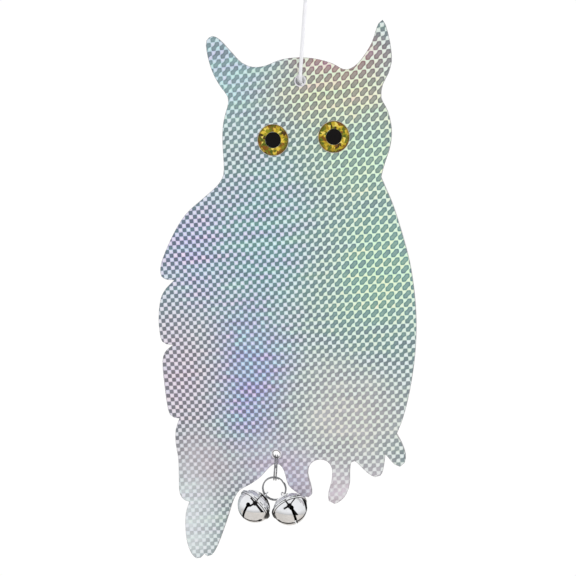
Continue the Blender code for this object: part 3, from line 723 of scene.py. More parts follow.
board_low, board_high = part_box("board_core")
for face_name, outside, board_face in (("front", -1, board_low.y), ("back", 1, board_high.y)):
    low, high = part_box("foil_" + face_name)
    shown_y, hidden_y = (low.y, high.y) if outside < 0 else (high.y, low.y)
    sunk_y = shown_y - outside * CUT_EDGE_SUNK * CUT_EDGE_RADIUS
    seam_y = (hidden_y + board_face) / 2
    seam_radius = abs(hidden_y - board_face) / 2
    for number, loop in enumerate(rim_loops("foil_" + face_name, shown_y)):
        key = face_name + "_" + str(number)
        edge_line = drawn_in(loop, CUT_EDGE_RADIUS, number == 0, sunk_y)
        seat(rod("cut_edge_" + key, edge_line, CUT_EDGE_RADIUS, cut_edge, LINE_SIDES, True), "owl", "foil")
        seam_line = drawn_in(loop, GLUE_INSET, number == 0, seam_y)
        seat(rod("glue_" + key, seam_line, seam_radius, glue_line, LINE_SIDES, True), "owl", "board")
        print("rim", key, len(loop), "points")

# %% [markdown]
# The cord is a fine braid of eight strands over a core. Four strands wind one way and four the other, and
# each one dips under a strand and then rides over the next. On a cord of this size that is what makes it
# look like cord: a smooth tube would look like wire. Each strand is the cord's own line, moved off it by an
# angle that grows along the line, so one Geometry Nodes tree braids any route: the straight strand, the eye,
# the bend and the knots.

# %% The braid, made with Geometry Nodes
CORD_DIAMETER = 0.0028
STRAND_COUNT = 8
STRAND_DIAMETER = 0.00084
STRAND_SIDES = 6
CORE_SIDES = 10
BRAID_PITCH = 0.0066
BRAID_WEAVE = 0.00016
BRAID_STEP = 0.00036
WHOLE_TURN = 2 * math.pi

braid_tree, sizes = new_tree(
    "braid", Diameter="Float", Strand="Float", Pitch="Float", Weave="Float", Step="Float", Count="Int",
    Surface="Material",
)
tree = braid_tree


def held(geometry, name, value, kind="FLOAT"):
    """Stores a value on a line under a name, and reads it back farther down the tree."""
    store = add_node(tree, "GeometryNodeStoreNamedAttribute", {0: geometry, "Name": name}, data_type=kind)
    plug(tree, store.inputs["Value"], value)
    read = add_node(tree, "GeometryNodeInputNamedAttribute", {"Name": name}, data_type=kind)
    return store.outputs[0], Measure(tree, read.outputs[0])


resample = {0: sizes["Line"], "Length": sizes["Step"]}
line = add_node(tree, "GeometryNodeResampleCurve", resample, mode="LENGTH").outputs[0]
tangent = add_node(tree, "GeometryNodeInputTangent").outputs[0]
normal = add_node(tree, "GeometryNodeInputNormal").outputs[0]
walked = add_node(tree, "GeometryNodeSplineParameter").outputs["Length"]
line, tangent = held(line, "held0", tangent, "FLOAT_VECTOR")
line, normal = held(line, "held1", normal, "FLOAT_VECTOR")
line, walked = held(line, "held2", walked)
copies = add_node(tree, "GeometryNodeDuplicateElements", {0: line, "Amount": sizes["Count"]}, domain="SPLINE")
lines, strand = held(copies.outputs[0], "strand", copies.outputs["Duplicate Index"])

way = strand.by("FLOORED_MODULO", 2.0).scaled(-2.0, 1.0)
pair = (strand / 2.0).by("FLOOR")
turns = walked / sizes["Pitch"]
angle = turns.scaled(way, pair * (2 / STRAND_COUNT)) * WHOLE_TURN
weave = (turns * (WHOLE_TURN * STRAND_COUNT / 2)).by("COSINE")
middle = (sizes["Diameter"] - sizes["Strand"]) * 0.5 - sizes["Weave"]
reach = (weave * way).scaled(sizes["Weave"], middle)
side = vector_math(tree, "CROSS_PRODUCT", tangent, normal)
first_part = vector_math(tree, "SCALE", normal, reach * angle.by("COSINE"))
second_part = vector_math(tree, "SCALE", side, reach * angle.by("SINE"))
offset = vector_math(tree, "ADD", first_part, second_part)
strands = add_node(tree, "GeometryNodeSetPosition", {"Geometry": lines, "Offset": offset}).outputs[0]
both_parts = tree.nodes.new("GeometryNodeJoinGeometry")
plug(tree, both_parts.inputs[0], swept(tree, sizes["Line"], CORE_SIDES, middle))
plug(tree, both_parts.inputs[0], swept(tree, strands, STRAND_SIDES, sizes["Strand"] * 0.5))
close_tree(tree, both_parts.outputs[0], sizes["Surface"])
print("braid tree:", len(tree.nodes), "nodes")

# %% The cord's white fibre
cord_fibre, tree, shader = finish_named("cord_fibre", (0.94, 0.94, 0.96), 0.8, 0)
shader.inputs["Subsurface Weight"].default_value = 0.2
shader.inputs["Subsurface Scale"].default_value = 0.0008
shader.inputs["Subsurface Radius"].default_value = (1, 1, 1)
shader.inputs["Sheen Weight"].default_value = 0.3
shader.inputs["Sheen Roughness"].default_value = 0.4
fuzz = noise(tree, 2600, 3)
paint(tree, shader, colour_mix(tree, fuzz.eased(0.3, 0.7), (0.93, 0.92, 0.97), WHITE))
emboss(tree, shader, fuzz, 0.4, 0.00006)


def braided(name, points):
    """A braid along a route."""
    made = grow(
        name, line_object(name + "_line", points), braid_tree, Diameter=CORD_DIAMETER, Strand=STRAND_DIAMETER,
        Pitch=BRAID_PITCH, Weave=BRAID_WEAVE, Step=BRAID_STEP, Count=STRAND_COUNT, Surface=cord_fibre,
    )
    print(name, len(made.data.polygons), "faces")
    return made


print("cord fibre ready")

# %% [markdown]
# The cord's route is the one the solids take. It goes up from the bend in the head hole, straight to the
# knot, and over the hook in an eye whose two legs run together into the knot. A smooth line through a few
# points would do for loose cord, but this one is pulled straight by the owl's weight, so it is straight runs
# and arcs.

# %% The strand and the eye
ROUTE_STEP = 0.0012
EYE_STEPS = 36
LEG_APART = 0.0018
LEG_ABOVE = 0.0002


def middle_and_size(name):
    low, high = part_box(name)
    return (low + high) / 2, high - low


def straight_run(start, end):
    count = max(2, round((end - start).length / ROUTE_STEP))
    return [start.lerp(end, share) for share in spread(0, 1, count)]


knot_centre, knot_size = middle_and_size("cord_knot")
loop_low, loop_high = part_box("cord_loop")
swivel = joint_at["owl_spin"]
strand_top = knot_centre + (swivel - knot_centre).normalized() * knot_size.z / 2
strand_route = straight_run(strand_top, swivel)
strand_piece = braided("hanging_strand", strand_route)
seat(strand_piece, "strand", "cord", "cord_strand")

loop_radius = (loop_high.x - loop_low.x - CORD_DIAMETER) / 2
loop_centre = Vector((0, 0, loop_high.z - CORD_DIAMETER / 2 - loop_radius))
leg_foot = Vector((LEG_APART, 0, loop_low.z + LEG_ABOVE))
other_foot = Vector((-LEG_APART, 0, leg_foot.z))
reach_out = leg_foot - loop_centre
low_turn = math.atan2(reach_out.z, reach_out.x) + math.acos(loop_radius / reach_out.length)
eye_turns = spread(low_turn, math.pi - low_turn, EYE_STEPS)
eye_arc = [loop_centre + loop_radius * swung(turn, X_AXIS, Z_AXIS) for turn in eye_turns]
loop_route = straight_run(leg_foot, eye_arc[0])[:-1] + eye_arc + straight_run(eye_arc[-1], other_foot)[1:]
loop_piece = braided("hook_eye", loop_route)
seat(loop_piece, "hook_loop", "cord", "cord_loop")
loop_length = sum((b - a).length for a, b in zip(loop_route, loop_route[1:]))

# %% The bend through the head hole
FOREHEAD_Y = swivel.y
BEND_RADIUS = 2 * CORD_DIAMETER
BEND_TURN = math.radians(74)
BEND_STEPS = 14

bight_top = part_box("cord_bight")[1].z
stopper_centre, stopper_size = middle_and_size("cord_stopper_knot")
bend_centre = Vector((0, FOREHEAD_Y + BEND_RADIUS, stopper_centre.z + BEND_RADIUS * math.sin(BEND_TURN)))
bend = [bend_centre - BEND_RADIUS * swung(turn, Y_AXIS, Z_AXIS) for turn in spread(0, BEND_TURN, BEND_STEPS)]
bight_route = straight_run(Vector((0, FOREHEAD_Y, bight_top)), bend[0])[:-1] + bend
seat(braided("forehead_bight", bight_route), "owl", "cord", "cord_bight")

# %% [markdown]
# A knot drawn tight shows as a few wraps of the same cord lying side by side. Modelling the whole passage of
# the cord inside would be lost work, because the wraps hide it. So each knot is one braided line that climbs
# round the cord like a screw thread, leans a little, and tucks both of its ends inside.

# %% The two knots
WRAP_STEPS = 26
TUCK_STEPS = 4
TUCK_SHARE = 0.62
KNOT_ROOM, KNOT_END_ROOM = 0.0002, 0.0016
KNOT_WRAPS, KNOT_SLANT = 2.6, 0.22
STOPPER_ROOM, STOPPER_END_ROOM = 0.0001, 0.0006
STOPPER_WRAPS, STOPPER_SLANT = 1.9, 0.12


def wraps_route(centre, axis, start_side, radius, rise, count, slant):
    """A leaning thread of wraps round an axis, with both ends drawn into the middle."""
    other_side = axis.cross(start_side)
    total = round(count * WRAP_STEPS)
    route = []
    for step in range(-TUCK_STEPS, total + TUCK_STEPS + 1):
        share = min(max(step / total, 0), 1)
        past = max(-step, step - total, 0) / TUCK_STEPS
        turn = WHOLE_TURN * step / WRAP_STEPS
        out = radius * (1 - TUCK_SHARE * past * past)
        up = rise * (share - 0.5) + slant * radius * math.cos(turn) * (1 - past)
        route.append(centre + out * swung(turn, start_side, other_side) + up * axis)
    return route


knot_radius = (knot_size.x - CORD_DIAMETER) / 2 - KNOT_ROOM
knot_rise = knot_size.z - CORD_DIAMETER - KNOT_END_ROOM
knot_route = wraps_route(knot_centre, Z_AXIS, X_AXIS, knot_radius, knot_rise, KNOT_WRAPS, KNOT_SLANT)
knot_piece = braided("eye_knot", knot_route)
seat(knot_piece, "knot", "cord", "cord_knot")
stopper_radius = (stopper_size.x - CORD_DIAMETER) / 2 - STOPPER_ROOM
stopper_rise = stopper_size.y - CORD_DIAMETER - STOPPER_END_ROOM
stopper_route = wraps_route(
    stopper_centre, Y_AXIS, X_AXIS, stopper_radius, stopper_rise, STOPPER_WRAPS, STOPPER_SLANT
)
seat(braided("stopper_knot", stopper_route), "owl", "cord", "cord_stopper_knot")

print("knots:", len(knot_route), "and", len(stopper_route), "points")

# %% [markdown]
# Polished steel has almost no colour of its own. What makes it read as metal is a clean mirror with small
# faults: fine scratches, a little cloudiness that differs from place to place, and the lines where sheet was
# pressed.

# %% Polished steel for the rings and the bells
ring_wire, tree, shader = finish_named("ring_wire_steel", (0.30, 0.30, 0.31), 0.14, 1)
drawn = noise(tree, 1500, 2)
plug(tree, shader.inputs["Roughness"], drawn.scaled(0.16, 0.06))
paint(tree, shader, colour_mix(tree, drawn.eased(0.35, 0.7), (0.42, 0.42, 0.43), (0.22, 0.22, 0.23)))

bell_chrome, tree, bell_shader = finish_named("bell_chrome", (0.88, 0.88, 0.89), 0.06, 1)
cloud = noise(tree, 160, 3)
clouded = cloud.eased(0.4, 0.8).scaled(0.06, 0.02)
bell_tone = colour_mix(tree, cloud.eased(0.35, 0.8), (0.90, 0.90, 0.91), (0.82, 0.82, 0.82))
stretch = add_node(tree, "ShaderNodeMapping", {"Vector": object_place(tree), "Scale": (2400, 300, 2400)})
emboss(tree, bell_shader, noise(tree, 1, 2, stretch.outputs[0]), 0.05, 0.00002)
print("steel ready")

# %% The split rings, each one wire wound twice
RING_WIRE = 0.0010
RING_COIL_GAP = 0.00045
RING_STEP_TURN = math.radians(30)
RING_PITCH = RING_WIRE + RING_COIL_GAP
RING_STEPS = 72
RING_STEP_STEPS = 12
PLATE_RING_TURN = math.radians(10)


def split_ring(name, node, body, step_at, across, along):
    """The coil of the solid, three times as fine: a flat turn, a step sideways and a second flat turn."""
    centre, size = middle_and_size(node)
    radius = (size.z - RING_WIRE) / 2
    start = math.radians(step_at) + RING_STEP_TURN / 2
    turn = WHOLE_TURN - RING_STEP_TURN
    stops = [(stop, -0.5) for stop in spread(start, start + turn, RING_STEPS)]
    for share in spread(0, 1, RING_STEP_STEPS)[1:-1]:
        stops.append((start + turn + RING_STEP_TURN * share, share * share * (3 - 2 * share) - 0.5))
    stops += [(stop, 0.5) for stop in spread(start + WHOLE_TURN, start + WHOLE_TURN + turn, RING_STEPS)]
    points = [
        centre + radius * swung(stop, across, Z_AXIS) + RING_PITCH * offset * along
        for stop, offset in stops
    ]
    seat(rod(name, points, RING_WIRE / 2, ring_wire), body, "ring_steel", node)
    print(name, "radius", round(radius * 1000, 2), "mm")


ring_turn = Matrix.Rotation(PLATE_RING_TURN, 3, "Z")
split_ring("upper_split_ring", "plate_ring", "upper_ring", 345, ring_turn @ Y_AXIS, ring_turn @ X_AXIS)
split_ring("lower_split_ring", "bell_ring", "lower_ring", 52, X_AXIS, Y_AXIS)

# %% [markdown]
# A jingle bell is two pressed shells and a staple. The lower shell is half a ball with two crossing slots,
# and its rim is rolled over the flat flange of the upper shell. Turning a profile round the bell's axis
# gives each shell its true wall, inside as well as outside, and a Boolean then cuts the slots as a punch
# would. Where the surface is part of a ball, the normals are set straight out from the middle, so that the
# mirror finish stays clean right up to each slot.

# %% Sizes of a bell, counted from the middle of its ball
BELL_RADIUS = 0.0125
BELL_WALL = 0.0005
CAP_HEIGHT = 0.0088
CRIMP_BULGE = 0.0006
CRIMP_ROUND = 0.00028
FLANGE_REACH = 0.0007
SEAT_GAP = 0.0003
BAIL_WIRE = 0.0010
BAIL_RADIUS = 0.00325
BELL_DROP = CAP_HEIGHT + 0.00135
ARCH_OVER_PIVOT = 0.0019 - 0.00275
SLOT_WIDTH = 0.0014
SLOT_END_DIAMETER = 0.0029
SLOT_END_ANGLE = math.radians(58)
BELL_TILT = math.radians(39)
SIDES = 112

flange_low = -(BELL_WALL + SEAT_GAP) / 2
flange_top = flange_low + BELL_WALL
ledge_top = flange_low - SEAT_GAP
ledge_low = ledge_top - BELL_WALL
lip_low = flange_top + SEAT_GAP
lip_top = lip_low + BELL_WALL
crimp_radius = BELL_RADIUS + CRIMP_BULGE
channel_radius = crimp_radius - BELL_WALL
flange_radius = channel_radius - SEAT_GAP
dome_radius = flange_radius - FLANGE_REACH
slot_end_z = -BELL_RADIUS * math.cos(SLOT_END_ANGLE)
print("bell", 2000 * crimp_radius, "mm across its rim")

# %% [markdown]
# Shiny steel shows its shape best where it isn't shiny. Painted shade darkens the creases on both sides of
# the rolled rim, the punched edges of the slots, the inside of the shells and the part of each bell that
# faces the other, dark dashes are painted along the rim, and all of these places are also made rougher. Most
# of this follows the bell's own shape, so each point of a bell carries its place in the bell's own frame as
# an attribute, and the material reads distances from that.

# %% Painted shade in the creases on both sides of the rolled rim, and dark dashes along it
SHADE_LINE = 0.00026
SOFT_EDGE = BELL_WALL / 5

own_place = add_node(tree, "ShaderNodeAttribute", attribute_name="bell_place").outputs["Vector"]
own_x, own_y, own_z = parts_of(tree, own_place)
own_x, own_y = own_x.size(), own_y.size()
flat_square = own_x.scaled(own_x, own_y * own_y)
whole_square = own_z.scaled(own_z, flat_square)
from_axis = flat_square.by("SQRT")


def band(value, middle_value, half):
    """1 close to a middle value, easing to 0 a little more than half away from it."""
    return (value - middle_value).size().eased(half * 1.5, half * 0.7)


def up_to(value, edge, softness=SOFT_EDGE):
    """1 up to an edge, easing to 0 a little past it."""
    return value.eased(edge + softness, edge)


lip_edge = dome_radius + SEAT_GAP
# Painted shade in the creases under and over the rolled rim, and dark dashes painted along its outermost
# line.
under_rim = band(own_z, ledge_low, SHADE_LINE) * up_to(from_axis, BELL_RADIUS, 3 * SOFT_EDGE)
over_rim = band(own_z, lip_top, SHADE_LINE) * up_to(from_axis, lip_edge, 2 * SOFT_EDGE)
rim_line = band(own_z, (ledge_low + lip_top) / 2, SHADE_LINE * 0.8)
outermost = from_axis.eased(crimp_radius - SOFT_EDGE, crimp_radius)
dashes = rim_line * outermost * noise(tree, 330, 0, own_place).eased(0.42, 0.5)
print("rim", round(1000 * (lip_top - ledge_low), 2), "mm high")

# %% Painted shade inside the shells and along the punched slots
SLOT_SHADE = 0.00016
SHADE_BLACK = (0.015, 0.014, 0.013)

below = own_z.eased(ledge_low + 0.0002, ledge_low)
inner_ball = (BELL_RADIUS - BELL_WALL / 2) ** 2
# Painted shade inside the cup and under the cap.
inside_cup = below * up_to(whole_square, inner_ball, BELL_RADIUS * SOFT_EDGE)
inner_height = CAP_HEIGHT - BELL_WALL / 2
dome_share = flat_square.scaled(1 / (dome_radius - BELL_WALL / 2) ** 2, own_z * own_z * (1 / inner_height**2))
inside_cap = own_z.eased(ledge_low, ledge_low + SOFT_EDGE) * dome_share.eased(1.0, 0.97)


def at_edge(value, edge):
    """1 out to the painted shade's edge beside a punched wall."""
    return value.eased(edge + 1.5 * SLOT_SHADE, edge + 0.6 * SLOT_SHADE)


# Painted shade along the punched slots and round their end holes.
slot_edge = below * up_to(own_z, slot_end_z) * at_edge(own_x.by("MINIMUM", own_y), SLOT_WIDTH / 2)
painted_bell_shade = slot_edge.most(inside_cup.most(inside_cap))
for aside in (own_x, own_y):
    along = aside.scaled(math.sin(SLOT_END_ANGLE), own_z * -math.cos(SLOT_END_ANGLE))
    off_hole = (whole_square - along * along).most(0.0).by("SQRT")
    painted_bell_shade = painted_bell_shade.most(below * at_edge(off_hole, SLOT_END_DIAMETER / 2))
for share in (under_rim, over_rim, dashes):
    painted_bell_shade = painted_bell_shade.most(share)
print("grime lines", 1000 * SHADE_LINE, "and", 1000 * SLOT_SHADE, "mm wide")

# %% Painted shade where the two bells face each other
FACING_SHADE_OFF_PIVOTS = Vector((0.0008, -0.0122, -0.0112))
FACING_SHADE_REACH = 0.0050
FACING_SHADE_DARK = 0.94

# Painted shade, with a noisy edge, round a point between the two bells where each faces the other.
facing_shade_middle = (joint_at["bell_left_swing"] + joint_at["bell_right_swing"]) / 2 + FACING_SHADE_OFF_PIVOTS
facing_shade_distance = cloud.scaled(0.004, vector_math(tree, "DISTANCE", object_place(tree), facing_shade_middle))
painted_bell_shade = painted_bell_shade.most(facing_shade_distance.eased(FACING_SHADE_REACH + 0.0026, FACING_SHADE_REACH + 0.0014) * FACING_SHADE_DARK)
# The painted shade darkens the chrome and makes it rougher.
paint(tree, bell_shader, colour_mix(tree, painted_bell_shade, bell_tone, SHADE_BLACK))
plug(tree, bell_shader.inputs["Roughness"], painted_bell_shade.scaled(0.4, clouded))


def mark_place(mesh, slot_turn):
    """Stores each point's place in the bell's own frame, turned so that its slots lie along the two axes."""
    unturn = Matrix.Rotation(-math.radians(slot_turn), 3, "Z")
    places = mesh.attributes.new("bell_place", "FLOAT_VECTOR", "POINT")
    for vert, stored in zip(mesh.vertices, places.data):
        stored.vector = unturn @ vert.co


print("bell material:", len(tree.nodes), "nodes")


# %% Turned shells
def arc_rows(radius, start, end, count, middle=(0, 0)):
    """(radius, height) points on an arc, with angles counted from straight down."""
    angles = spread(start, end, count)
    return [(middle[0] + radius * math.sin(angle), middle[1] - radius * math.cos(angle)) for angle in angles]


def turned(name, profile, surface):
    """Turns a profile that starts and ends on the Z axis."""
    work = bmesh.new()
    corners = [work.verts.new((max(radius, 0), 0, high)) for radius, high in profile]
    edges = [work.edges.new(pair) for pair in zip(corners, corners[1:])]
    bmesh.ops.spin(work, geom=corners + edges, cent=(0, 0, 0), axis=(0, 0, 1), angle=WHOLE_TURN, steps=SIDES)
    bmesh.ops.remove_doubles(work, verts=work.verts, dist=WELD)
    bmesh.ops.recalc_face_normals(work, faces=work.faces)
    for face in work.faces:
        face.smooth = True
    return mesh_object(name, work, surface)


def cup_profile():
    """Half a ball, then the rolled rim with its channel, and back down along the inner wall."""
    edge = math.acos(-ledge_low / BELL_RADIUS)
    inner = BELL_RADIUS - BELL_WALL
    rolled = crimp_radius - CRIMP_ROUND
    rim_low = arc_rows(CRIMP_ROUND, 0, math.pi / 2, 5, (rolled, ledge_low + CRIMP_ROUND))
    rim_high = arc_rows(CRIMP_ROUND, math.pi / 2, math.pi, 5, (rolled, lip_top - CRIMP_ROUND))
    lip = [(lip_edge, lip_top), (lip_edge, lip_low)]
    channel = [(channel_radius, lip_low), (channel_radius, ledge_top)]
    inner_wall = arc_rows(inner, math.acos(-ledge_top / inner), 0, 24)
    return arc_rows(BELL_RADIUS, 0, edge, 34) + rim_low + rim_high + lip + channel + inner_wall


def dome_rows(radius, height, count):
    rise = height - flange_top
    angles = spread(0, math.pi / 2, count)
    return [(radius * math.sin(angle), flange_top + rise * math.cos(angle)) for angle in angles]


GROOVE_HEIGHT = 0.0026
GROOVE_WIDTH = 0.00035
GROOVE_DEPTH = 0.00014


def cap_profile():
    """The dome with one shallow pressed groove near its foot, the flange, and back up the inner wall."""
    outside = []
    for radius, high in dome_rows(dome_radius, CAP_HEIGHT, 44):
        near = (high - GROOVE_HEIGHT) / GROOVE_WIDTH
        outside.append((radius - GROOVE_DEPTH * math.exp(-near * near), high))
    flange = [(flange_radius, flange_top), (flange_radius, flange_low), (dome_radius - BELL_WALL, flange_low)]
    return outside + flange + dome_rows(dome_radius - BELL_WALL, CAP_HEIGHT - BELL_WALL, 20)[::-1]


print("cup profile", len(cup_profile()), "points, cap profile", len(cap_profile()), "points")

# %% Punched slots and holes
PUNCH_SIDES = 40
CUT_PAST = 0.001
LEG_ROOM = 0.00012
CREASE = math.radians(32)
BALL_ERROR = 0.00004
BALL_COSINE = 0.97


def punch(body, tools):
    """Cuts each tool out of the body for good."""
    for tool in tools:
        step = body.modifiers.new("punch", "BOOLEAN")
        step.operation = "DIFFERENCE"
        step.solver = "EXACT"
        step.object = tool
    mesh = finished_mesh(body)
    body.modifiers.clear()
    body.data = mesh
    for tool in tools:
        bpy.data.objects.remove(tool)


def tool_object(work, matrix):
    bmesh.ops.transform(work, matrix=matrix, verts=work.verts)
    bmesh.ops.recalc_face_normals(work, faces=work.faces)
    return mesh_object("tool", work)


def rod_tool(radius, low, high, matrix):
    halfway = Matrix.Translation((0, 0, (high + low) / 2))
    return tool_object(round_bar(radius, high - low, PUNCH_SIDES), matrix @ halfway)


def block_tool(size, matrix):
    work = bmesh.new()
    bmesh.ops.create_cube(work, size=1)
    bmesh.ops.scale(work, vec=size, verts=work.verts)
    return tool_object(work, matrix)


def slot_tools(slot_turn):
    """Two crossing slots whose four ends are round holes square to the ball."""
    low = -BELL_RADIUS - CUT_PAST
    size = (2 * BELL_RADIUS * math.sin(SLOT_END_ANGLE), SLOT_WIDTH, slot_end_z - low)
    tools = []
    for number in range(2):
        turn = Matrix.Rotation(math.radians(slot_turn + 90 * number), 4, "Z")
        tools.append(block_tool(size, turn @ Matrix.Translation((0, 0, (low + slot_end_z) / 2))))
        for way in (-1, 1):
            aim = turn @ Matrix.Rotation(way * SLOT_END_ANGLE, 4, "Y")
            tools.append(rod_tool(SLOT_END_DIAMETER / 2, low, low / 2, aim))
    return tools


def leg_tools():
    """The cap's two holes for the staple, a little wider than its wire."""
    radius = BAIL_WIRE / 2 + LEG_ROOM
    sides = [Matrix.Translation((way * BAIL_RADIUS, 0, 0)) for way in (-1, 1)]
    return [rod_tool(radius, CAP_HEIGHT / 2, CAP_HEIGHT + CUT_PAST, side) for side in sides]


def clean_mirror(mesh, radii):
    """Sharp creases stay, and faces that lie on a ball get normals straight from its middle."""
    mesh.set_sharp_from_angle(angle=CREASE)
    normals = [corner.vector.copy() for corner in mesh.corner_normals]
    for face in mesh.polygons:
        for corner in face.loop_indices:
            place = mesh.vertices[mesh.loops[corner].vertex_index].co
            straight_out = place.normalized()
            along_face = face.normal.dot(straight_out)
            on_ball = any(abs(place.length - radius) < BALL_ERROR for radius in radii)
            if on_ball and abs(along_face) > BALL_COSINE and place.z < ledge_low + 5 * WELD:
                normals[corner] = straight_out if along_face > 0 else -straight_out
    mesh.normals_split_custom_set(normals)


print("punches ready")

# %% The staple, the pellet and the bell's own frame
PELLET_DENTS = 9
DENT_DEPTH = 0.05
DENT_COSINE = 0.93
FOOT_BEND = 0.0008
FOOT_REACH = 0.0018

pellet_steel, tree, shader = finish_named("pellet_steel", (0.35, 0.35, 0.36), 0.42, 1)
rust = noise(tree, 700, 4).eased(0.5, 0.7)
paint(tree, shader, colour_mix(tree, rust, (0.36, 0.36, 0.37), (0.20, 0.17, 0.15)))


def bell_frame(pivot_place, lean):
    """The bell's own frame: its ball's middle is below the pivot along its leaning, tilted axis."""
    hang = swung(BELL_TILT, swung(lean, -Z_AXIS, X_AXIS), -Y_AXIS)
    swing = swung(lean, X_AXIS, Z_AXIS)
    turn = Matrix([swing.cross(-hang), swing, -hang]).transposed().to_4x4()
    return Matrix.Translation(pivot_place + BELL_DROP * hang) @ turn


def staple_route():
    """The arch over the cap and its two legs, with the feet bent out under the cap."""
    arch = Z_AXIS * (BELL_DROP + ARCH_OVER_PIVOT)
    tip = BAIL_RADIUS + FOOT_REACH
    inner_radius, inner_rise = dome_radius - BELL_WALL, CAP_HEIGHT - BELL_WALL - flange_top
    under = flange_top + inner_rise * math.sqrt(1 - ((tip + BAIL_WIRE / 2) / inner_radius) ** 2)
    foot_z = under - SEAT_GAP - BAIL_WIRE / 2
    bend_middle = Vector((BAIL_RADIUS + FOOT_BEND, 0, foot_z + FOOT_BEND))
    half = [arch + BAIL_RADIUS * swung(turn, Z_AXIS, X_AXIS) for turn in spread(0, math.pi / 2, 16)]
    half += [bend_middle - FOOT_BEND * swung(turn, X_AXIS, Z_AXIS) for turn in spread(0, math.pi / 2, 8)]
    half.append(Vector((tip, 0, foot_z)))
    return [Vector((-point.x, 0, point.z)) for point in half[:0:-1]] + half


def dented_ball(name, node):
    """A steel ball with a few shallow dents, the same on every run."""
    middle, size = middle_and_size(node)
    work = bmesh.new()
    bmesh.ops.create_icosphere(work, subdivisions=4, radius=size.z / 2)
    dents = random.Random(7)
    aims = [Vector([dents.uniform(-1, 1) for axis in range(3)]) for dent in range(PELLET_DENTS)]
    hollows = [aim.normalized() for aim in aims]
    for vert in work.verts:
        aim = vert.co.normalized()
        worn = max(aim.dot(hollow) for hollow in hollows)
        vert.co *= 1 - DENT_DEPTH * max(0, worn - DENT_COSINE) / (1 - DENT_COSINE)
    for face in work.faces:
        face.smooth = True
    bmesh.ops.translate(work, verts=work.verts, vec=middle)
    return mesh_object(name, work, pellet_steel)


print("staple", len(staple_route()), "points")

# %% The two bells
BELLS = {
    # side: (lean in degrees, turn of the slots in degrees)
    "left": (-42, 64),
    "right": (45, 30),
}

for side, (lean, slot_turn) in BELLS.items():
    place = bell_frame(joint_at["bell_" + side + "_swing"], math.radians(lean))
    body = side + "_bell"
    cup = turned("slotted_cup_" + side, cup_profile(), bell_chrome)
    punch(cup, slot_tools(slot_turn))
    clean_mirror(cup.data, (BELL_RADIUS, BELL_RADIUS - BELL_WALL))
    cap = turned("domed_cap_" + side, cap_profile(), bell_chrome)
    punch(cap, leg_tools())
    cap.data.set_sharp_from_angle(angle=CREASE)
    staple = rod("staple_" + side, staple_route(), BAIL_WIRE / 2, bell_chrome)
    for piece, node in ((cup, "bell_cup_"), (cap, "bell_cap_"), (staple, "bell_bail_")):
        mark_place(piece.data, slot_turn)
        piece.data.transform(place)
        seat(piece, body, "bell_steel", node + side)
    pellet = dented_ball("loose_pellet_" + side, "bell_pellet_" + side)
    seat(pellet, side + "_pellet", "pellet_steel", "bell_pellet_" + side)
    print(side, "bell faces:", len(cup.data.polygons), len(cap.data.polygons))

# %% [markdown]
# Each eye is a round sticker of prismatic gold film with a matt black disc on it. Seen close up, the film is
# a field of small flat facets, each tipped its own way, so some flash yellow while their neighbours stay
# olive or brown. The facets here are real: a ring of points is scattered with a fixed seed, every point is
# lifted a little, and the faces between them stay flat. Each facet keeps one colour, which a mesh attribute
# carries to the material.

# %% Finishes of the eyes
GOLD_FACETS = [
    (0.78, 0.55, 0.05), (0.90, 0.72, 0.14), (0.42, 0.27, 0.01), (0.08, 0.12, 0.004), (0.17, 0.18, 0.006),
    (0.58, 0.42, 0.02), (0.06, 0.025, 0.003), (0.24, 0.09, 0.004), (0.30, 0.28, 0.01), (0.82, 0.60, 0.06),
    (0.12, 0.15, 0.006), (0.24, 0.18, 0.008),
]
RIM_BROWN = (0.10, 0.045, 0.005)
GLINT_GOLD = (0.80, 0.62, 0.14)

prism_gold, tree, shader = finish_named("prism_gold", (0.6, 0.46, 0.12), 0.36, 0.35)
facet = add_node(tree, "ShaderNodeAttribute", attribute_name="facet_colour").outputs["Color"]
paint(tree, shader, colour_mix(tree, noise(tree, 1400, 2).eased(0.5, 0.8) * 0.35, facet, GLINT_GOLD))
shader.inputs["Specular IOR Level"].default_value = 0.25
shader.inputs["Coat Weight"].default_value = 0.08

pupil_matt, tree, shader = finish_named("pupil_matt", (0.006, 0.005, 0.006), 0.6, 0)
paint(tree, shader, colour_mix(tree, noise(tree, 900, 3), (0.003, 0.003, 0.003), (0.010, 0.008, 0.008)))
shader.inputs["Specular IOR Level"].default_value = 0.1

sticker_edge, tree, shader = finish_named("sticker_edge", (0.78, 0.70, 0.62), 0.5, 0)
paint(tree, shader, colour_mix(tree, noise(tree, 1200, 2), (0.84, 0.78, 0.72), (0.66, 0.52, 0.42)))
print("facet colours:", len(GOLD_FACETS))


# %% The film: rings of points, stitched into facets
RIM_POINTS = 52
FIRST_ROW_POINTS = 26
MORE_EACH_ROW = 3
ROW_SHARES = (0, 0.24, 0.52, 0.8, 1)
TURN_JITTER = 0.34
OUT_JITTER = 0.12
EDGE_LIFT = 0.10
MOST_LIFT = 0.42


def stitch_rows(work, low, high):
    """Fills the band between two rings of points that may differ in number."""
    a, b = 0, 0
    while a < len(low) or b < len(high):
        if b == len(high) or (a < len(low) and (a + 1) / len(low) <= (b + 1) / len(high)):
            corners = (low[a % len(low)], low[(a + 1) % len(low)], high[b % len(high)])
            a += 1
        else:
            corners = (low[a % len(low)], high[(b + 1) % len(high)], high[b % len(high)])
            b += 1
        work.faces.new(corners)


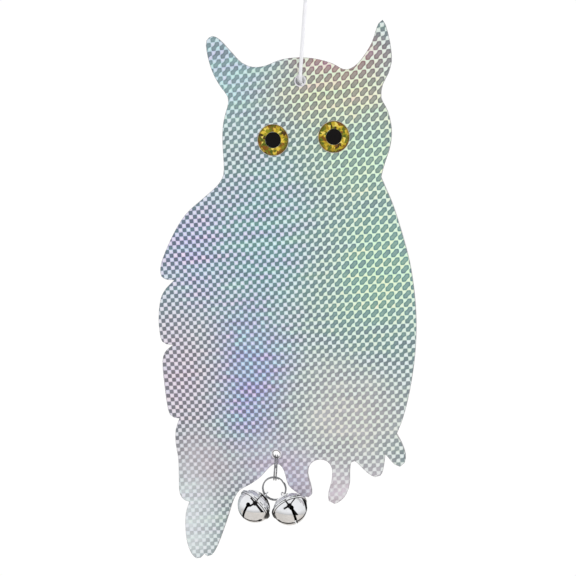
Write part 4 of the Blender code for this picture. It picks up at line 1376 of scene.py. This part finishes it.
def facet_rows(work, chance, centre, inner, width, near_y, lift_all):
    """Rings of points from the pupil out to the rim. Those between the two edges are scattered and lifted."""
    rows = []
    for number, share in enumerate(ROW_SHARES):
        edge = share in (0, 1)
        count = RIM_POINTS if edge else FIRST_ROW_POINTS + MORE_EACH_ROW * number
        radius = inner + share * width
        ring = []
        for side in range(count):
            jitter = 0 if edge else chance.uniform(-TURN_JITTER, TURN_JITTER)
            turn = WHOLE_TURN * (side + jitter) / count
            out = radius if edge else radius + chance.uniform(-OUT_JITTER, OUT_JITTER) * width
            lift = lift_all * (EDGE_LIFT if edge else chance.uniform(0.0, MOST_LIFT))
            ring.append((turn, out, lift))
        middle = Vector((centre.x, near_y, centre.z))
        rows.append([
            work.verts.new(middle + out * swung(turn, X_AXIS, Z_AXIS) + lift * Y_AXIS)
            for turn, out, lift in sorted(ring)
        ])
    return rows


print("rows of facets:", len(ROW_SHARES) - 1)

# %% The film's colours, and the whole ring
BLOTCHES = 84
GOLDEN_SHARE = 0.382
RIM_FROM, RIM_OVER, RIM_STRENGTH = 0.72, 0.22, 0.8


def colour_facets(mesh, chance, centre, inner, width):
    """Each facet takes the tone of the nearest of some scattered blotches, and browns towards the rim."""
    blotches = []
    for number in range(BLOTCHES):
        turn = WHOLE_TURN * (number + chance.uniform(-0.3, 0.3)) * GOLDEN_SHARE
        out = inner + width * chance.random()
        blotches.append((out * swung(turn, X_AXIS, Z_AXIS), chance.choice(GOLD_FACETS)))
    colours = mesh.attributes.new("facet_colour", "FLOAT_COLOR", "CORNER")
    for face in mesh.polygons:
        spot = Vector((face.center.x - centre.x, 0, face.center.z - centre.z))
        tone = min(blotches, key=lambda blotch: (blotch[0] - spot).length)[1]
        rim = min(max(((spot.length - inner) / width - RIM_FROM) / RIM_OVER, 0), 1)
        mixed = [a + (b - a) * RIM_STRENGTH * rim for a, b in zip(tone, RIM_BROWN)]
        for corner in face.loop_indices:
            colours.data[corner].color = (*mixed, 1)


def film_ring(name, centre, inner, outer, near_y, deep_y, seed):
    """A thin ring whose tipped facets start at near_y, and whose back at deep_y is flat."""
    chance = random.Random(seed)
    work = bmesh.new()
    rows = facet_rows(work, chance, centre, inner, outer - inner, near_y, deep_y - near_y)
    for low, high in zip(rows, rows[1:]):
        stitch_rows(work, low, high)
    behind = []
    for row in (rows[0], rows[-1]):
        back_row = [work.verts.new((vert.co.x, deep_y, vert.co.z)) for vert in row]
        for (here, there), (back_here, back_there) in zip(around(row), around(back_row)):
            work.faces.new((here, there, back_there, back_here))
        behind.append(back_row)
    stitch_rows(work, *behind)
    bmesh.ops.recalc_face_normals(work, faces=work.faces)
    made = mesh_object(name, work, prism_gold)
    colour_facets(made.data, chance, centre, inner, outer - inner)
    return made


print("blotches of colour:", BLOTCHES)


# %% The pupil
def low_dome(name, centre, radius, near_y, deep_y, surface):
    """A disc with a rolled edge that swells slightly towards near_y."""
    facing = 1 if deep_y > near_y else -1
    film = abs(deep_y - near_y)
    profile = [(0, 0)] + [(radius * share, film * 0.32 * share**2) for share in (0.25, 0.5, 0.7, 0.85, 0.93)]
    profile += [(radius * 0.985, film * 0.42), (radius, film * 0.6), (radius, film), (0, film)]
    made = turned(name, profile, surface)
    turn = Matrix([X_AXIS, Z_AXIS * -facing, Y_AXIS * facing]).transposed().to_4x4()
    made.data.transform(Matrix.Translation((centre.x, near_y, centre.z)) @ turn)
    made.data.set_sharp_from_angle(angle=math.radians(40))
    return made


print("eye helpers ready")

# %% The four eyes
RIM_MARGIN = 0.00035
PUPIL_MARGIN = 0.0002
RIM_LINE_RADIUS = 0.00011
RIM_LINE_DEPTH = 0.55
RIM_LINE_STEPS = 72

for face_name in ("front", "back"):
    for place_name in ("left", "right"):
        key = face_name + "_" + place_name
        centre, size = middle_and_size("eye_iris_" + key)
        pupil_radius = middle_and_size("eye_pupil_" + key)[1].x / 2
        front = -1 if face_name == "front" else 1
        near_y, deep_y = centre.y + front * size.y / 2, centre.y - front * size.y / 2
        outer = size.x / 2
        inner = pupil_radius + PUPIL_MARGIN
        rim = outer - RIM_MARGIN
        iris = film_ring("prism_iris_" + key, centre, inner, rim, near_y, deep_y, len(key) + 11)
        seat(iris, "owl", "iris_gold", "eye_iris_" + key)
        line_middle = Vector((centre.x, near_y + RIM_LINE_DEPTH * (deep_y - near_y), centre.z))
        line_radius = outer - RIM_MARGIN / 2
        turns = spread(0, WHOLE_TURN, RIM_LINE_STEPS)[:-1]
        circle = [line_middle + line_radius * swung(turn, X_AXIS, Z_AXIS) for turn in turns]
        seat(rod("iris_edge_" + key, circle, RIM_LINE_RADIUS, sticker_edge, 8, True), "owl", "iris_gold")
        pupil = low_dome("pupil_disc_" + key, centre, pupil_radius, near_y, deep_y, pupil_matt)
        seat(pupil, "owl", "pupil_black", "eye_pupil_" + key)
        print("eye", key, round(2000 * outer, 1), "mm across")

# %% The end: sizes
low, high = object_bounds()
cad_mm, visual_mm = ([round(1000 * side, 1) for side in box] for box in (cad_high - cad_low, high - low))
print("CAD box", cad_mm, "visual box", visual_mm)
